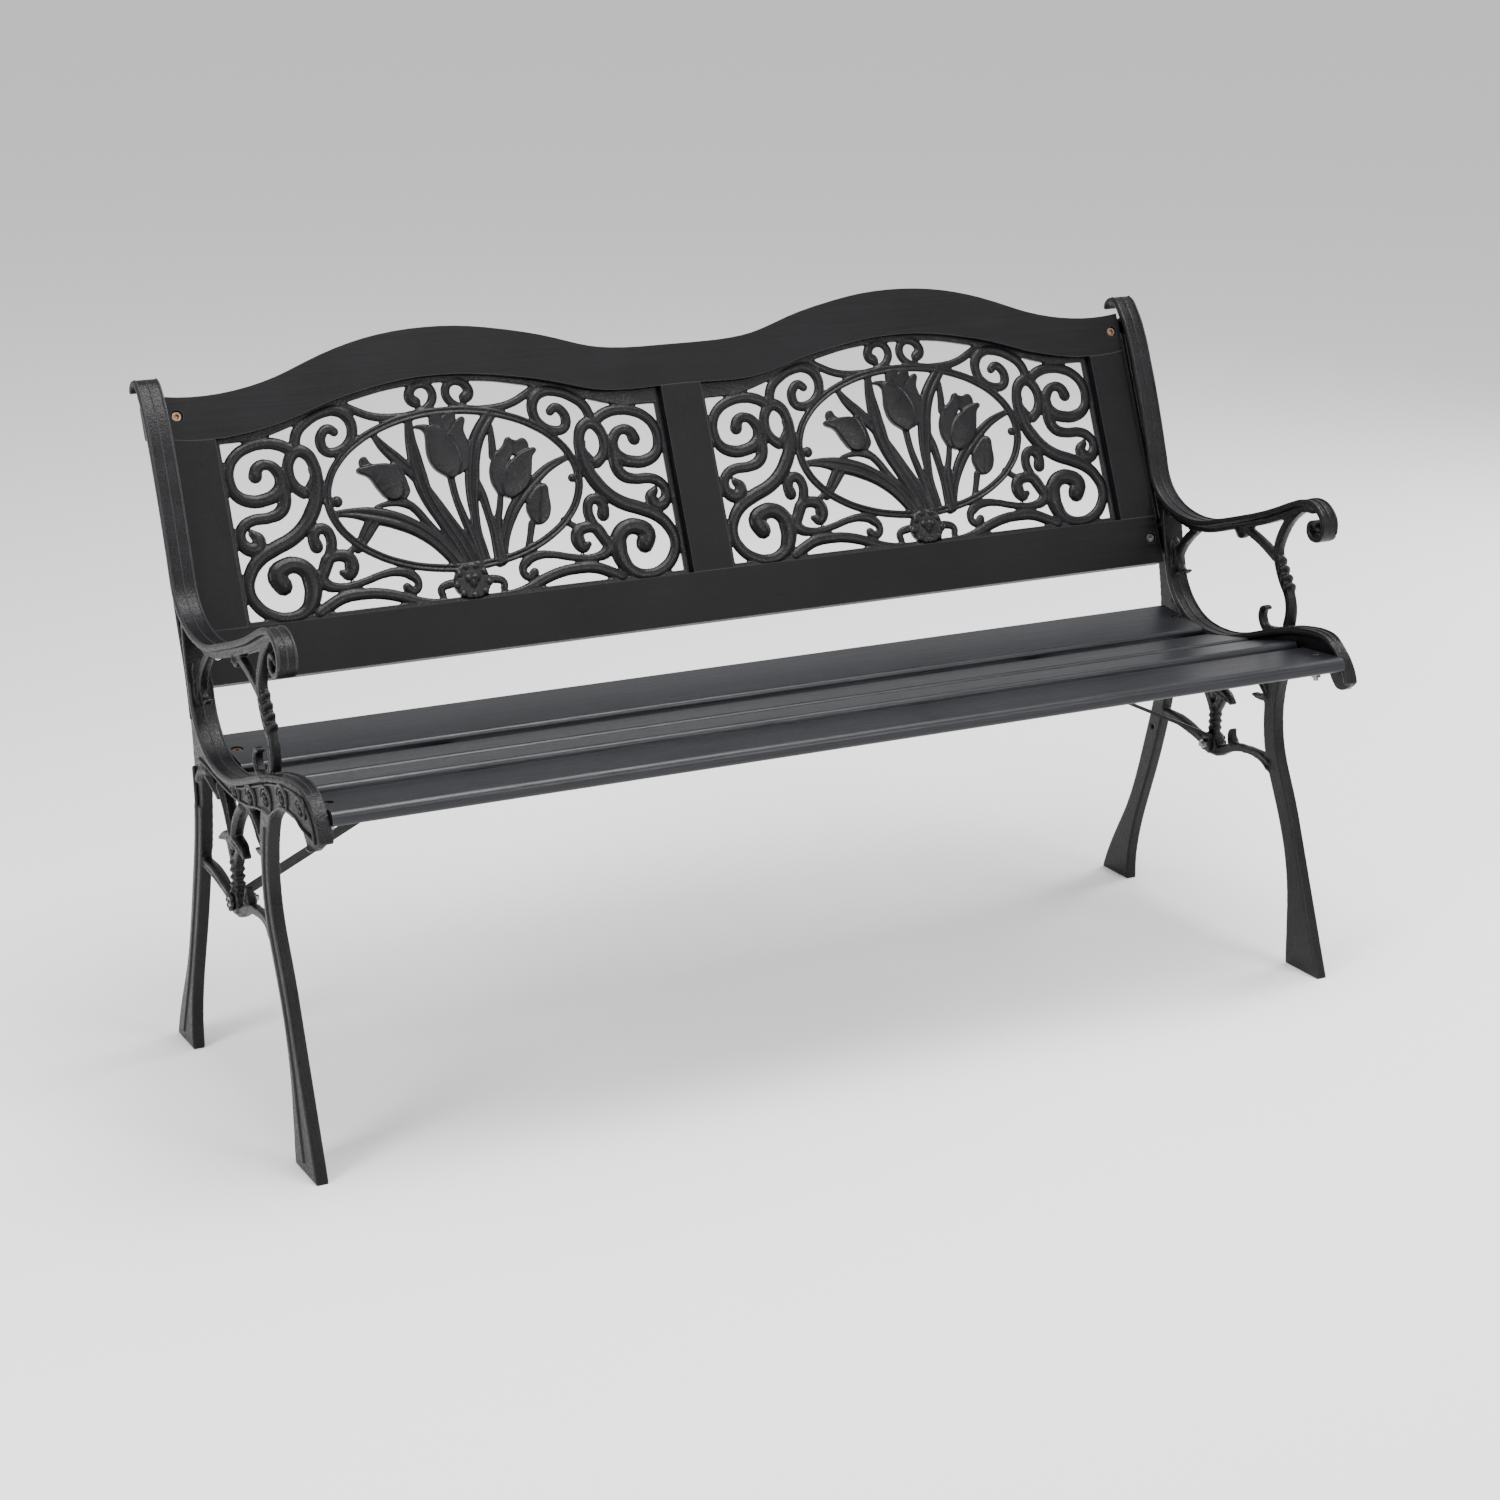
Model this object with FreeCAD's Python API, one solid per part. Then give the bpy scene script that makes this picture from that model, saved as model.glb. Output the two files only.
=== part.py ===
import FreeCAD, Part
import math
import os

Vector = FreeCAD.Vector
os.makedirs("parts", exist_ok=True)

# ---------------------------------------------------------------- dimensions
# The bench is 1250 long, 730 high and stands on a 450 deep foot spread.
# "forward" is measured from the middle of the foot spread towards the sitter.
DATUM_Y = -4.96           # moves the whole bench so that its box is centred

LENGTH = 1250.0           # over the outer edges of the two castings
STRIP_WIDTH = 27.0        # broad face of the castings: post, arm and seat rail
STRIP_HALF_T = 3.0        # half of its thickness
WEB_INNER = 606.0         # inner face of the casting web, from the middle
WEB_THICK = 12.0
BAR_INNER = 607.5         # the slender bars are thinner than the web
BAR_THICK = 9.0
NOSE_IN = 11.0            # the casting narrows this much towards the rail's nose
HAND_IN = 6.0             # and its inner edge this much towards the hand rest
LEG_INNER = 606.5
LEG_THICK = 13.5

WOOD_END = 597.5          # slats and back rails stop just inside the strips
SLAT_T = 15.0
SLAT_EDGE_R = 3.5
SLAT_BOLT_X = 588.3

BACK_RAKE = 23.2          # degrees the back leans rearwards
BACK_FWD = -117.0         # forward position of the lower bolt line
BACK_Z = 457.0            # height of the lower bolt line
BACK_T = 20.0             # thickness of the back timber
BACK_BOLT_X = 586.0
TOP_BOLT_V = 256.0        # upper bolt line, up the leaning back
STILE_IN = 549.0          # inner edge of an end stile
CENTRE_STILE_HALF = 25.0
TENON = 14.0
TENON_GAP = 0.4

WINDOW_MID = 287.0        # middle of each window from the middle of the bench
WINDOW_HALF = 262.0
WINDOW_FLOOR = 26.0
PANEL_FRONT = 7.0         # how far the casting sits behind the timber face
PANEL_T = 8.0
PANEL_TONGUE = 4.5        # edge of the casting hidden in the grooves
GROOVE_GAP = 0.4
PANEL_RIM = 6.5

BOLT_R = 3.0
BOLT_HOLE_R = 3.4
HEAD_R = 5.0              # socket head
HEAD_T = 4.0
SOCKET_FLAT = 5.0         # across the flats of the key hole in a head
SOCKET_DEPTH = 2.5
COUNTERBORE_R = 6.6
COUNTERBORE_DEPTH = 5.5
WASHER_R = 8.0
WASHER_T = 1.5
NUT_FLAT = 10.0
NUT_T = 5.0
SCREW_R = 2.0
SCREW_HEAD_R = 4.5

LEDGE_T = 5.0
LEDGE_REACH = 34.0        # how far the slat ledge stands inward from the web
STRAP_X = 371.0
STRAP_WIDTH = 25.0
STRAP_T = 3.0
BRACE_WIDTH = 15.0
BRACE_T = 4.0
HUB = (-5.0, 226.0)       # where a brace is bolted to the casting

# slats: name, rear top edge, front top edge as (forward, height)
SLATS = [
    ("seat_slat_rear", (-103.0, 376.0), (-19.0, 366.0)),
    ("seat_slat_middle_rear", (-10.0, 361.0), (72.0, 376.0)),
    ("seat_slat_middle_front", (81.0, 376.0), (162.0, 393.5)),
    ("seat_slat_front", (171.0, 389.0), (251.0, 395.0)),
]
BOLTED = ("seat_slat_rear", "seat_slat_front")


# ------------------------------------------------------------------- helpers
def side(forward, height, x=0.0):
    """A point given the way the side of the bench is seen."""
    return Vector(x, DATUM_Y - forward, height)


def front(across, up, depth=0.0):
    """A point on an upright drawing board, before the back is leaned."""
    return Vector(across, depth, up)


def spline(points):
    """One smooth edge through the points."""
    curve = Part.BSplineCurve()
    curve.interpolate(points)
    return curve.toShape()


def unit(vector):
    length = vector.Length
    return Vector(vector.x / length, vector.y / length, vector.z / length)


def tangents(points):
    result = []
    last = len(points) - 1
    for index in range(len(points)):
        before = points[max(index - 1, 0)]
        after = points[min(index + 1, last)]
        result.append(unit(after - before))
    return result


RUN = 7                   # longest stretch of a band drawn as one face


def ribbon(stroke, place, normal):
    """A flat band with round ends: stroke is a list of (a, b, half width).

    A long band is drawn as overlapping stretches, so that a scroll may curl
    back over itself."""
    middle = [place(a, b) for a, b, half in stroke]
    halves = [half for a, b, half in stroke]
    dirs = tangents(middle)
    faces = []
    first = 0
    while first < len(stroke) - 1:
        last = min(first + RUN, len(stroke))
        if len(stroke) - last < 3:
            last = len(stroke)
        faces.append(stretch(
            middle[first:last], halves[first:last], dirs[first:last], normal))
        if last == len(stroke):
            break
        first = last - 2
    return faces


def stretch(middle, halves, dirs, normal):
    """One face of a band, closed by arcs at both ends."""
    left = []
    right = []
    for point, along, half in zip(middle, dirs, halves):
        across = normal.cross(along)
        left.append(point + across * half)
        right.append(point - across * half)
    start_tip = middle[0] - dirs[0] * halves[0]
    end_tip = middle[-1] + dirs[-1] * halves[-1]
    edges = [spline(left)]
    edges.append(Part.Arc(left[-1], end_tip, right[-1]).toShape())
    edges.append(spline(list(reversed(right))))
    edges.append(Part.Arc(right[0], start_tip, left[0]).toShape())
    return Part.Face(Part.Wire(edges))


def blade(one_side, other_side):
    """A flat plate between two smooth edges closed by straight ends."""
    edges = [spline(one_side)]
    edges.append(Part.makeLine(one_side[-1], other_side[-1]))
    edges.append(spline(list(reversed(other_side))))
    edges.append(Part.makeLine(other_side[0], one_side[0]))
    return Part.Face(Part.Wire(edges))


def disc(centre, normal, radius):
    return Part.Face(Part.Wire(Part.makeCircle(radius, centre, normal)))


def joined(shapes):
    """All the shapes as one, with the seams taken out."""
    result = shapes[0]
    if len(shapes) > 1:
        result = result.fuse(shapes[1:])
    return result.removeSplitter()


def largest(shape):
    """The solid of a shape, dropping nothing when there is only one."""
    solids = sorted(shape.Solids, key=lambda item: item.Volume)
    print("   solids", len(solids), [round(item.Volume) for item in solids][-4:])
    return solids[-1]


def export(name, shape):
    shape.exportStep("parts/%s.step" % name)
    box = shape.BoundBox
    print("%-24s %7.1f %7.1f %7.1f  %s" % (
        name, box.XLength, box.YLength, box.ZLength, shape.isValid()))


def mirrored(shape):
    return shape.mirror(Vector(0, 0, 0), Vector(1, 0, 0))


def cylinder(centre, axis, radius, length):
    return Part.makeCylinder(radius, length, centre, axis)


def hexagon_prism(centre, axis, flat, length):
    """A nut body: hexagon of the given distance between flats."""
    reach = flat / math.cos(math.pi / 6) / 2
    points = []
    for index in range(7):
        angle = index * math.pi / 3
        points.append(Vector(reach * math.cos(angle), reach * math.sin(angle), 0))
    body = Part.Face(Part.makePolygon(points)).extrude(Vector(0, 0, length))
    body.Placement = FreeCAD.Placement(
        centre, FreeCAD.Rotation(Vector(0, 0, 1), axis))
    return body


# -------------------------------------------------------------------- castings
# Centre line of the broad strip: down the post, along the arm, into its scroll
ARM_STRIP = [
    (-253, 716), (-249, 723), (-240, 726.5), (-231, 723), (-223, 715),
    (-210, 698), (-187, 650), (-167, 600), (-149.5, 550), (-140.5, 525),
    (-127, 508), (-109, 496.5), (-91, 490.5), (-70, 487.5), (-50, 487.5),
    (-29, 490.5), (1, 499), (38, 510), (78, 523), (106, 534), (131, 545),
    (150, 551.5), (164, 552.5), (178, 547), (187, 536), (187, 523),
    (179, 514.5), (168, 515), (162, 523), (165, 531), (172, 531),
]
# Centre line of the lower strip: down the post and along the seat rail
RAIL_STRIP = [
    (-114, 494), (-110, 465), (-103, 435), (-97, 412), (-86, 393), (-69, 377),
    (-48, 366), (-26, 361.5), (-6, 360.7), (14, 362), (34, 366), (54, 372),
    (74, 378.8), (94, 385.8), (114, 392.5), (134, 398.5), (154, 403),
    (174, 406.5), (194, 408.3), (212, 406.5), (227, 400), (239.5, 389.5),
    (248, 378), (252.5, 367),
]
POST_REAR = [
    (-236, 716), (-208, 650), (-188, 600), (-170, 550), (-152, 500),
    (-136, 450), (-124, 400), (-118, 350), (-120, 300), (-128, 250),
]
POST_FRONT = [
    (-223, 716), (-187, 650), (-167, 600), (-149, 550), (-130, 500),
    (-107, 450), (-97, 400), (-93, 350), (-96, 300), (-104, 250),
]
REAR_LEG_BACK = [
    (-120, 300), (-128, 250), (-142, 200), (-157, 150), (-176, 100),
    (-203, 50), (-225, 0),
]
REAR_LEG_FRONT = [
    (-96, 300), (-104, 250), (-117, 200), (-133, 150), (-151, 100),
    (-165, 50), (-168, 0),
]
FRONT_LEG_BACK = [
    (104, 360), (96, 330), (95, 300), (100, 250), (121, 200), (143, 150),
    (156, 100), (160, 50), (162, 0),
]
FRONT_LEG_FRONT = [
    (134, 360), (122, 330), (118, 300), (125, 250), (148, 200), (168, 150),
    (187, 100), (206, 50), (225, 0),
]
RAIL_LOWER = [
    (-108, 352), (-60, 348), (-23, 344), (17, 342), (57, 345), (97, 353),
    (124, 350), (136, 360), (152, 370), (176, 375), (199, 374), (213, 368),
    (218, 362.5), (252.5, 362.5),
]
ARM_SUPPORT = [
    (152, 547, 3.7), (138, 539, 4.3), (121, 525, 5), (108, 505, 5.3),
    (102, 484, 5.3), (108, 467, 5.9), (117, 452, 6.2), (127, 437, 5.6),
    (131, 420, 5.9), (128, 402, 6.2),
]
SUPPORT_FOOT = [(118, 395, 4), (104, 391, 4), (91, 390, 4)]
SUPPORT_HOOK = [(92, 388, 4), (82, 394, 4), (78, 404, 4), (81, 412, 3.6), (87, 414, 2.4)]
ARM_STRUT = [(33, 499, 4.2), (62, 492, 4.5), (98, 477, 4.9)]
ARM_BOSS = (31, 494, 9)
POST_CURL = [
    (-50, 484, 4.9), (-62, 474, 4.9), (-76, 462, 4.9), (-87, 449, 4.9), (-93, 436, 4.9),
    (-91, 425, 4.2), (-83, 420, 3.1), (-73, 423, 1.8),
]
CURL_TIE = [(-104, 452, 4), (-96, 440, 4.8), (-96, 425, 4.8), (-100, 410, 4.8)]
REAR_STRETCHER = [
    (-114, 236, 5), (-95, 235.5, 5.9), (-75, 234.5, 6.2), (-55, 231, 5.9),
    (-35, 226, 5.3), (-18, 221, 5.6), (-5, 218, 6.8),
]
FRONT_STRETCHER = [
    (-5, 218, 6.8), (10, 219, 6.2), (27, 227, 5.3), (46, 233, 4.7),
    (70, 235.2, 4.3), (92, 234.5, 5.6), (110, 229, 8.1),
]
SPIKE_LEAF = [(33, 236, 5.6), (30, 245, 3.8), (31, 250, 2.4)]
COLUMN = [(-5, 222, 6.6), (-5, 245, 6), (-5, 270, 6)]
KNOT_LEAF = [(-50, 281, 1.5), (-35, 288, 4.5), (-15, 293, 6), (5, 292, 6), (20, 288, 5.2), (28, 283, 2.2)]
KNOT_LEFT = [(-6, 266, 5.6), (-14, 277, 4.9), (-24, 289, 4.2)]
KNOT_RIGHT = [(-4, 266, 5.6), (4, 277, 4.9), (12, 290, 4.2)]
TRUNK_REAR = [(-7, 286, 5), (-12, 304, 5.5), (-21, 323, 6), (-38, 342, 6.5)]
TRUNK_FRONT = [(-5, 286, 5), (1, 304, 5.5), (13, 323, 6), (34, 341, 6.5)]
FRONT_CORNER = [(50, 344, 5.4), (72, 338, 6.6), (90, 326, 7.8), (102, 310, 5.4)]
LEG_HOOK = [(99, 311, 6), (85, 306, 3.8), (72, 306, 2.2)]
REAR_LEAF = [(-74, 342, 6.4), (-58, 332, 4.8), (-49, 325, 2.4)]
REAR_CORNER = [(-104, 330, 7.2), (-92, 342, 7.2), (-70, 348, 6.4)]
LEG_RECESS = (-127, 213)
X_AXIS = Vector(1, 0, 0)


def side_ribbon(stroke):
    """The faces of one band seen from the side of the bench."""
    return ribbon(stroke, side, X_AXIS)


def side_points(pairs):
    return [side(a, b) for a, b in pairs]


def even(pairs, half):
    return [(a, b, half) for a, b in pairs]


def slat_frame(rear_top, front_top):
    """Length and tilt of a slat top, both edges given as forward, height."""
    run = front_top[0] - rear_top[0]
    rise = front_top[1] - rear_top[1]
    return math.hypot(run, rise), math.atan2(rise, run)


def under_point(rear_top, front_top, along, below):
    """A point under a slat, measured along its top and square below it."""
    width, tilt = slat_frame(rear_top, front_top)
    forward = rear_top[0] + along * math.cos(tilt) + below * math.sin(tilt)
    height = rear_top[1] + along * math.sin(tilt) - below * math.cos(tilt)
    return forward, height


def under_path(first_in, last_in):
    """Corner points of a strip that touches the underside of every slat."""
    path = []
    for index, (name, rear_top, front_top) in enumerate(SLATS):
        width, tilt = slat_frame(rear_top, front_top)
        start = first_in if index == 0 else 0.0
        stop = width - last_in if index == len(SLATS) - 1 else width
        path.append(under_point(rear_top, front_top, start, SLAT_T))
        path.append(under_point(rear_top, front_top, stop, SLAT_T))
    return path


def strip_under_slats(x_from, x_to, thick, first_in, last_in):
    """A flat bar bent to follow the undersides of the slats."""
    path = under_path(first_in, last_in)
    upper = [side(a, b, x_from) for a, b in path]
    lower = [side(a, b - thick, x_from) for a, b in path]
    outline = upper + list(reversed(lower)) + [upper[0]]
    face = Part.Face(Part.makePolygon(outline))
    return face.extrude(Vector(x_to - x_from, 0, 0))


def back_placement():
    return FreeCAD.Placement(
        side(BACK_FWD, BACK_Z), FreeCAD.Rotation(X_AXIS, -BACK_RAKE))


def leaned(shape):
    """Lean something drawn upright onto the back of the bench."""
    moved = shape.copy()
    moved.Placement = back_placement().multiply(moved.Placement)
    return moved


def back_lug(v):
    """The bracket behind the back timber that takes one bolt."""
    reach = WEB_INNER + 6 - 568
    plate = Part.makeBox(reach, 7, 36, Vector(568, BACK_T, v - 18))
    rib = Part.makeBox(11, BACK_T + 7 + 6, 36, Vector(WEB_INNER, -6, v - 18))
    return [leaned(plate), leaned(rib)]


def web_faces():
    """The post, the seat rail and the rib under the arm."""
    faces = [blade(side_points(POST_REAR), side_points(POST_FRONT))]
    rail_top = RAIL_STRIP[4:]
    faces.append(Part.Face(Part.Wire([
        spline(side_points(rail_top)),
        Part.makeLine(side(*rail_top[-1]), side(*RAIL_LOWER[-1])),
        spline(list(reversed(side_points(RAIL_LOWER)))),
        Part.makeLine(side(*RAIL_LOWER[0]), side(*rail_top[0])),
    ])))
    faces += side_ribbon([(a, b - 5, 6) for a, b in ARM_STRIP[10:23]])
    return faces


def bar_faces():
    """The slender curls, stretchers and leaves between the main members."""
    strokes = [
        ARM_SUPPORT, SUPPORT_FOOT, SUPPORT_HOOK, ARM_STRUT, POST_CURL, CURL_TIE,
        REAR_STRETCHER, FRONT_STRETCHER, SPIKE_LEAF, COLUMN, KNOT_LEAF,
        KNOT_LEFT, KNOT_RIGHT, TRUNK_REAR, TRUNK_FRONT, FRONT_CORNER, LEG_HOOK,
        REAR_LEAF, REAR_CORNER,
    ]
    faces = []
    for stroke in strokes:
        faces += side_ribbon(stroke)
    faces.append(disc(side(ARM_BOSS[0], ARM_BOSS[1]), X_AXIS, ARM_BOSS[2]))
    return faces


def prisms(faces, depth, offset):
    """Each flat outline given the same depth, then moved into place."""
    solids = []
    for face in faces:
        solid = face.extrude(depth)
        solid.translate(offset)
        solids.append(solid)
    return solids


def slat_bolt_spot(rear_top, front_top):
    """Middle of the slat top, where its end bolt goes."""
    width, tilt = slat_frame(rear_top, front_top)
    return under_point(rear_top, front_top, width / 2, 0.0), tilt


def down_axis(tilt):
    """The direction square to a slat, pointing down."""
    return Vector(0, -math.sin(tilt), -math.cos(tilt))


def wedge(corners, floor, roof):
    """An upright prism over corners given as (x, forward)."""
    points = [side(forward, floor, x) for x, forward in corners]
    face = Part.Face(Part.makePolygon(points + [points[0]]))
    return face.extrude(Vector(0, 0, roof - floor))


def narrowings():
    """What is shaved off towards the nose of the rail and the hand rest."""
    outer = LENGTH / 2
    inner = outer - STRIP_WIDTH
    nose = wedge(
        [(outer + 1, 120), (outer, 120), (outer - NOSE_IN, 235),
         (outer - NOSE_IN, 280), (outer + 1, 280)], 356, 420)
    hand = wedge(
        [(inner - 1, 60), (inner, 60), (inner + HAND_IN, 150),
         (inner + HAND_IN, 220), (inner - 1, 220)], 495, 570)
    return [nose, hand]


def end_casting():
    """The casting on the sitter's side with positive x."""
    web = prisms(web_faces(), Vector(WEB_THICK, 0, 0), Vector(WEB_INNER, 0, 0))
    bars = prisms(bar_faces(), Vector(BAR_THICK, 0, 0), Vector(BAR_INNER, 0, 0))
    leg_faces = [
        blade(side_points(REAR_LEG_BACK), side_points(REAR_LEG_FRONT)),
        blade(side_points(FRONT_LEG_BACK), side_points(FRONT_LEG_FRONT)),
    ]
    legs = prisms(leg_faces, Vector(LEG_THICK, 0, 0), Vector(LEG_INNER, 0, 0))
    strip_faces = side_ribbon(even(ARM_STRIP, STRIP_HALF_T))
    strip_faces += side_ribbon(even(RAIL_STRIP, STRIP_HALF_T))
    strips = prisms(
        strip_faces, Vector(STRIP_WIDTH, 0, 0), Vector(LENGTH / 2 - STRIP_WIDTH, 0, 0))
    ledge = strip_under_slats(
        WEB_INNER + 2 - LEDGE_REACH, WEB_INNER + 4, LEDGE_T, 12.0, 22.0)
    hub = cylinder(side(HUB[0], HUB[1], WEB_INNER - 3), X_AXIS, 13, WEB_THICK + 4)
    lugs = back_lug(0.0) + back_lug(TOP_BOLT_V)
    body = joined(web)
    for more in legs + strips + [ledge, hub] + bars + lugs:
        body = body.fuse(more)
    body = body.removeSplitter()
    cutters = [cylinder(side(HUB[0], HUB[1], 590), X_AXIS, BOLT_HOLE_R, 60)]
    cutters += narrowings()
    recess = side(LEG_RECESS[0], LEG_RECESS[1], LEG_INNER - 1)
    cutters.append(cylinder(recess, X_AXIS, 2.6, 7))
    for v in (0.0, TOP_BOLT_V):
        hole = cylinder(Vector(BACK_BOLT_X, 0, v), Vector(0, 1, 0), BOLT_HOLE_R, 60)
        cutters.append(leaned(hole))
    for name, rear_top, front_top in SLATS:
        spot, tilt = slat_bolt_spot(rear_top, front_top)
        radius = BOLT_HOLE_R if name in BOLTED else SCREW_R + 0.4
        start = side(spot[0], spot[1], SLAT_BOLT_X)
        cutters.append(cylinder(start, down_axis(tilt), radius, 40))
    return largest(body.cut(cutters))


# ------------------------------------------------------------------ seat slats
def seat_slat(name, rear_top, front_top):
    """One long board with eased edges and bolt holes at both ends."""
    width, tilt = slat_frame(rear_top, front_top)
    board = Part.makeBox(2 * WOOD_END, width, SLAT_T, Vector(-WOOD_END, -width, -SLAT_T))
    long_edges = []
    for edge in board.Edges:
        if edge.BoundBox.XLength > 100:
            long_edges.append(edge)
    top_front = [e for e in long_edges if e.BoundBox.ZMin > -1 and e.BoundBox.YMin < -1]
    rest = [e for e in long_edges if e not in top_front]
    nose = 7.4 if name == "seat_slat_front" else 5.0
    board = board.makeFillet(SLAT_EDGE_R, [e for e in rest if not e.isSame(top_front[0])])
    nose_edge = nearest_edge(board, Vector(0, -width, 0))
    board = board.makeFillet(nose, [nose_edge])
    board.Placement = FreeCAD.Placement(
        side(rear_top[0], rear_top[1]),
        FreeCAD.Rotation(X_AXIS, -math.degrees(tilt)))
    cutters = []
    spot, tilt = slat_bolt_spot(rear_top, front_top)
    down = down_axis(tilt)
    for sign in (-1, 1):
        start = side(spot[0], spot[1], sign * SLAT_BOLT_X)
        if name in BOLTED:
            cutters.append(cylinder(start - down, down, BOLT_HOLE_R, SLAT_T + 2))
            cutters.append(cylinder(start - down, down, COUNTERBORE_R, COUNTERBORE_DEPTH + 1))
        else:
            cutters.append(cylinder(start + down * 5, down, SCREW_R + 0.05, SLAT_T))
    for x, along in strap_screw_spots(width):
        forward, height = under_point(rear_top, front_top, along, 4.0)
        cutters.append(cylinder(side(forward, height, x), down, SCREW_R + 0.05, SLAT_T))
    return board.cut(cutters)


def strap_screw_spots(width):
    """Where the straps are screwed into one slat: x and distance along it."""
    return [(sign * STRAP_X, width / 2) for sign in (-1, 1)]


def nearest_edge(shape, point):
    """The long edge whose middle is closest to a point."""
    best = None
    for edge in shape.Edges:
        if edge.BoundBox.XLength < 100:
            continue
        gap = edge.BoundBox.Center.distanceToPoint(point)
        if best is None or gap < best[0]:
            best = (gap, edge)
    return best[1]


# ------------------------------------------------------------------- back wood
# Half outlines of the top rail as (distance from the middle, height up the back)
TOP_UPPER = [
    (0, 288), (80, 290), (100, 293), (150, 308), (200, 320), (250, 328),
    (300, 330), (350, 326), (400, 315), (430, 305), (470, 290), (510, 280),
    (WOOD_END, 278),
]
TOP_LOWER = [
    (0, 242), (80, 241), (110, 245), (150, 256), (200, 267), (240, 273),
    (290, 276), (340, 273), (380, 266), (420, 256), (460, 243), (500, 233.5),
    (WOOD_END, 232),
]
BOTTOM_LOWER = -31.0


def both_sides(half):
    """A half outline continued to the other side of the middle."""
    other = [(-a, b) for a, b in reversed(half) if a > 0]
    return other + list(half)


def top_rail():
    upper = [front(a, b) for a, b in both_sides(TOP_UPPER)]
    lower = [front(a, b) for a, b in both_sides(TOP_LOWER)]
    rail = blade(upper, lower).extrude(Vector(0, BACK_T, 0))
    cutters = panel_blanks(GROOVE_GAP) + stile_tenons(TENON_GAP) + back_bolt_cuts(TOP_BOLT_V)
    return leaned(largest(rail.cut(cutters)))


def bottom_rail():
    height = WINDOW_FLOOR - BOTTOM_LOWER
    rail = Part.makeBox(2 * WOOD_END, BACK_T, height, Vector(-WOOD_END, 0, BOTTOM_LOWER))
    cutters = panel_blanks(GROOVE_GAP) + stile_tenons(TENON_GAP) + back_bolt_cuts(0.0)
    return leaned(largest(rail.cut(cutters)))


def back_bolt_cuts(v):
    cuts = []
    for sign in (-1, 1):
        x = sign * BACK_BOLT_X
        cuts.append(cylinder(Vector(x, -1, v), Vector(0, 1, 0), BOLT_HOLE_R, BACK_T + 2))
        cuts.append(cylinder(
            Vector(x, -1, v), Vector(0, 1, 0), COUNTERBORE_R, COUNTERBORE_DEPTH + 1))
    return cuts


def stile_box(x_from, x_to, top):
    """One upright between the rails; the top rail is cut away later."""
    return Part.makeBox(
        x_to - x_from, BACK_T, top - WINDOW_FLOOR, Vector(x_from, 0, WINDOW_FLOOR))


STILES = [
    ("back_stile_left", -WOOD_END, -STILE_IN, 232.0),
    ("back_stile_centre", -CENTRE_STILE_HALF, CENTRE_STILE_HALF, 242.0),
    ("back_stile_right", STILE_IN, WOOD_END, 232.0),
]


def stile_tenons(gap):
    """Tenon blocks at both ends of every stile, grown by a gap."""
    blocks = []
    for name, x_from, x_to, top in STILES:
        wide = x_to - x_from - 20 + 2 * gap
        for base in (WINDOW_FLOOR - TENON - gap, top - 6.0):
            tall = TENON + gap + 6.0
            blocks.append(Part.makeBox(
                wide, 8 + 2 * gap, tall, Vector(x_from + 10 - gap, 6 - gap, base)))
    return blocks


def stile(name, x_from, x_to, top):
    body = stile_box(x_from, x_to, top + 10.0)
    upper = [front(a, b, -1) for a, b in both_sides(TOP_UPPER)]
    lower = [front(a, b, -1) for a, b in both_sides(TOP_LOWER)]
    rail = blade(upper, lower).extrude(Vector(0, BACK_T + 2, 0))
    body = body.cut([rail] + panel_blanks(GROOVE_GAP))
    tenons = [block for block in stile_tenons(0.0)
              if x_from - 1 < block.BoundBox.Center.x < x_to + 1]
    body = body.fuse(tenons).removeSplitter()
    return leaned(largest(body))


# ---------------------------------------------------------------------- panels
# Outline of a casting, (distance from its middle, height up the back)
PANEL_TOP = [
    (-266.5, 246), (-212, 246), (-200, 247), (-172, 252), (-132, 262),
    (-92, 272), (-52, 279), (0, 282), (52, 279), (92, 272), (132, 262),
    (172, 252), (200, 247), (212, 246), (266.5, 246),
]
RIM_TOP = [
    (-255.5, 224), (-212, 226), (-172, 236.5), (-132, 250), (-92, 260),
    (-52, 267), (0, 269.5), (52, 267), (92, 260), (132, 250), (172, 236.5),
    (212, 226), (255.5, 224),
]
RIM_FLOOR = 31.5
RING_CENTRE = (0.0, 150.5)
RING_LONG = 147.0
RING_SHORT = 87.0
RING_HALF = 4.5

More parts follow.
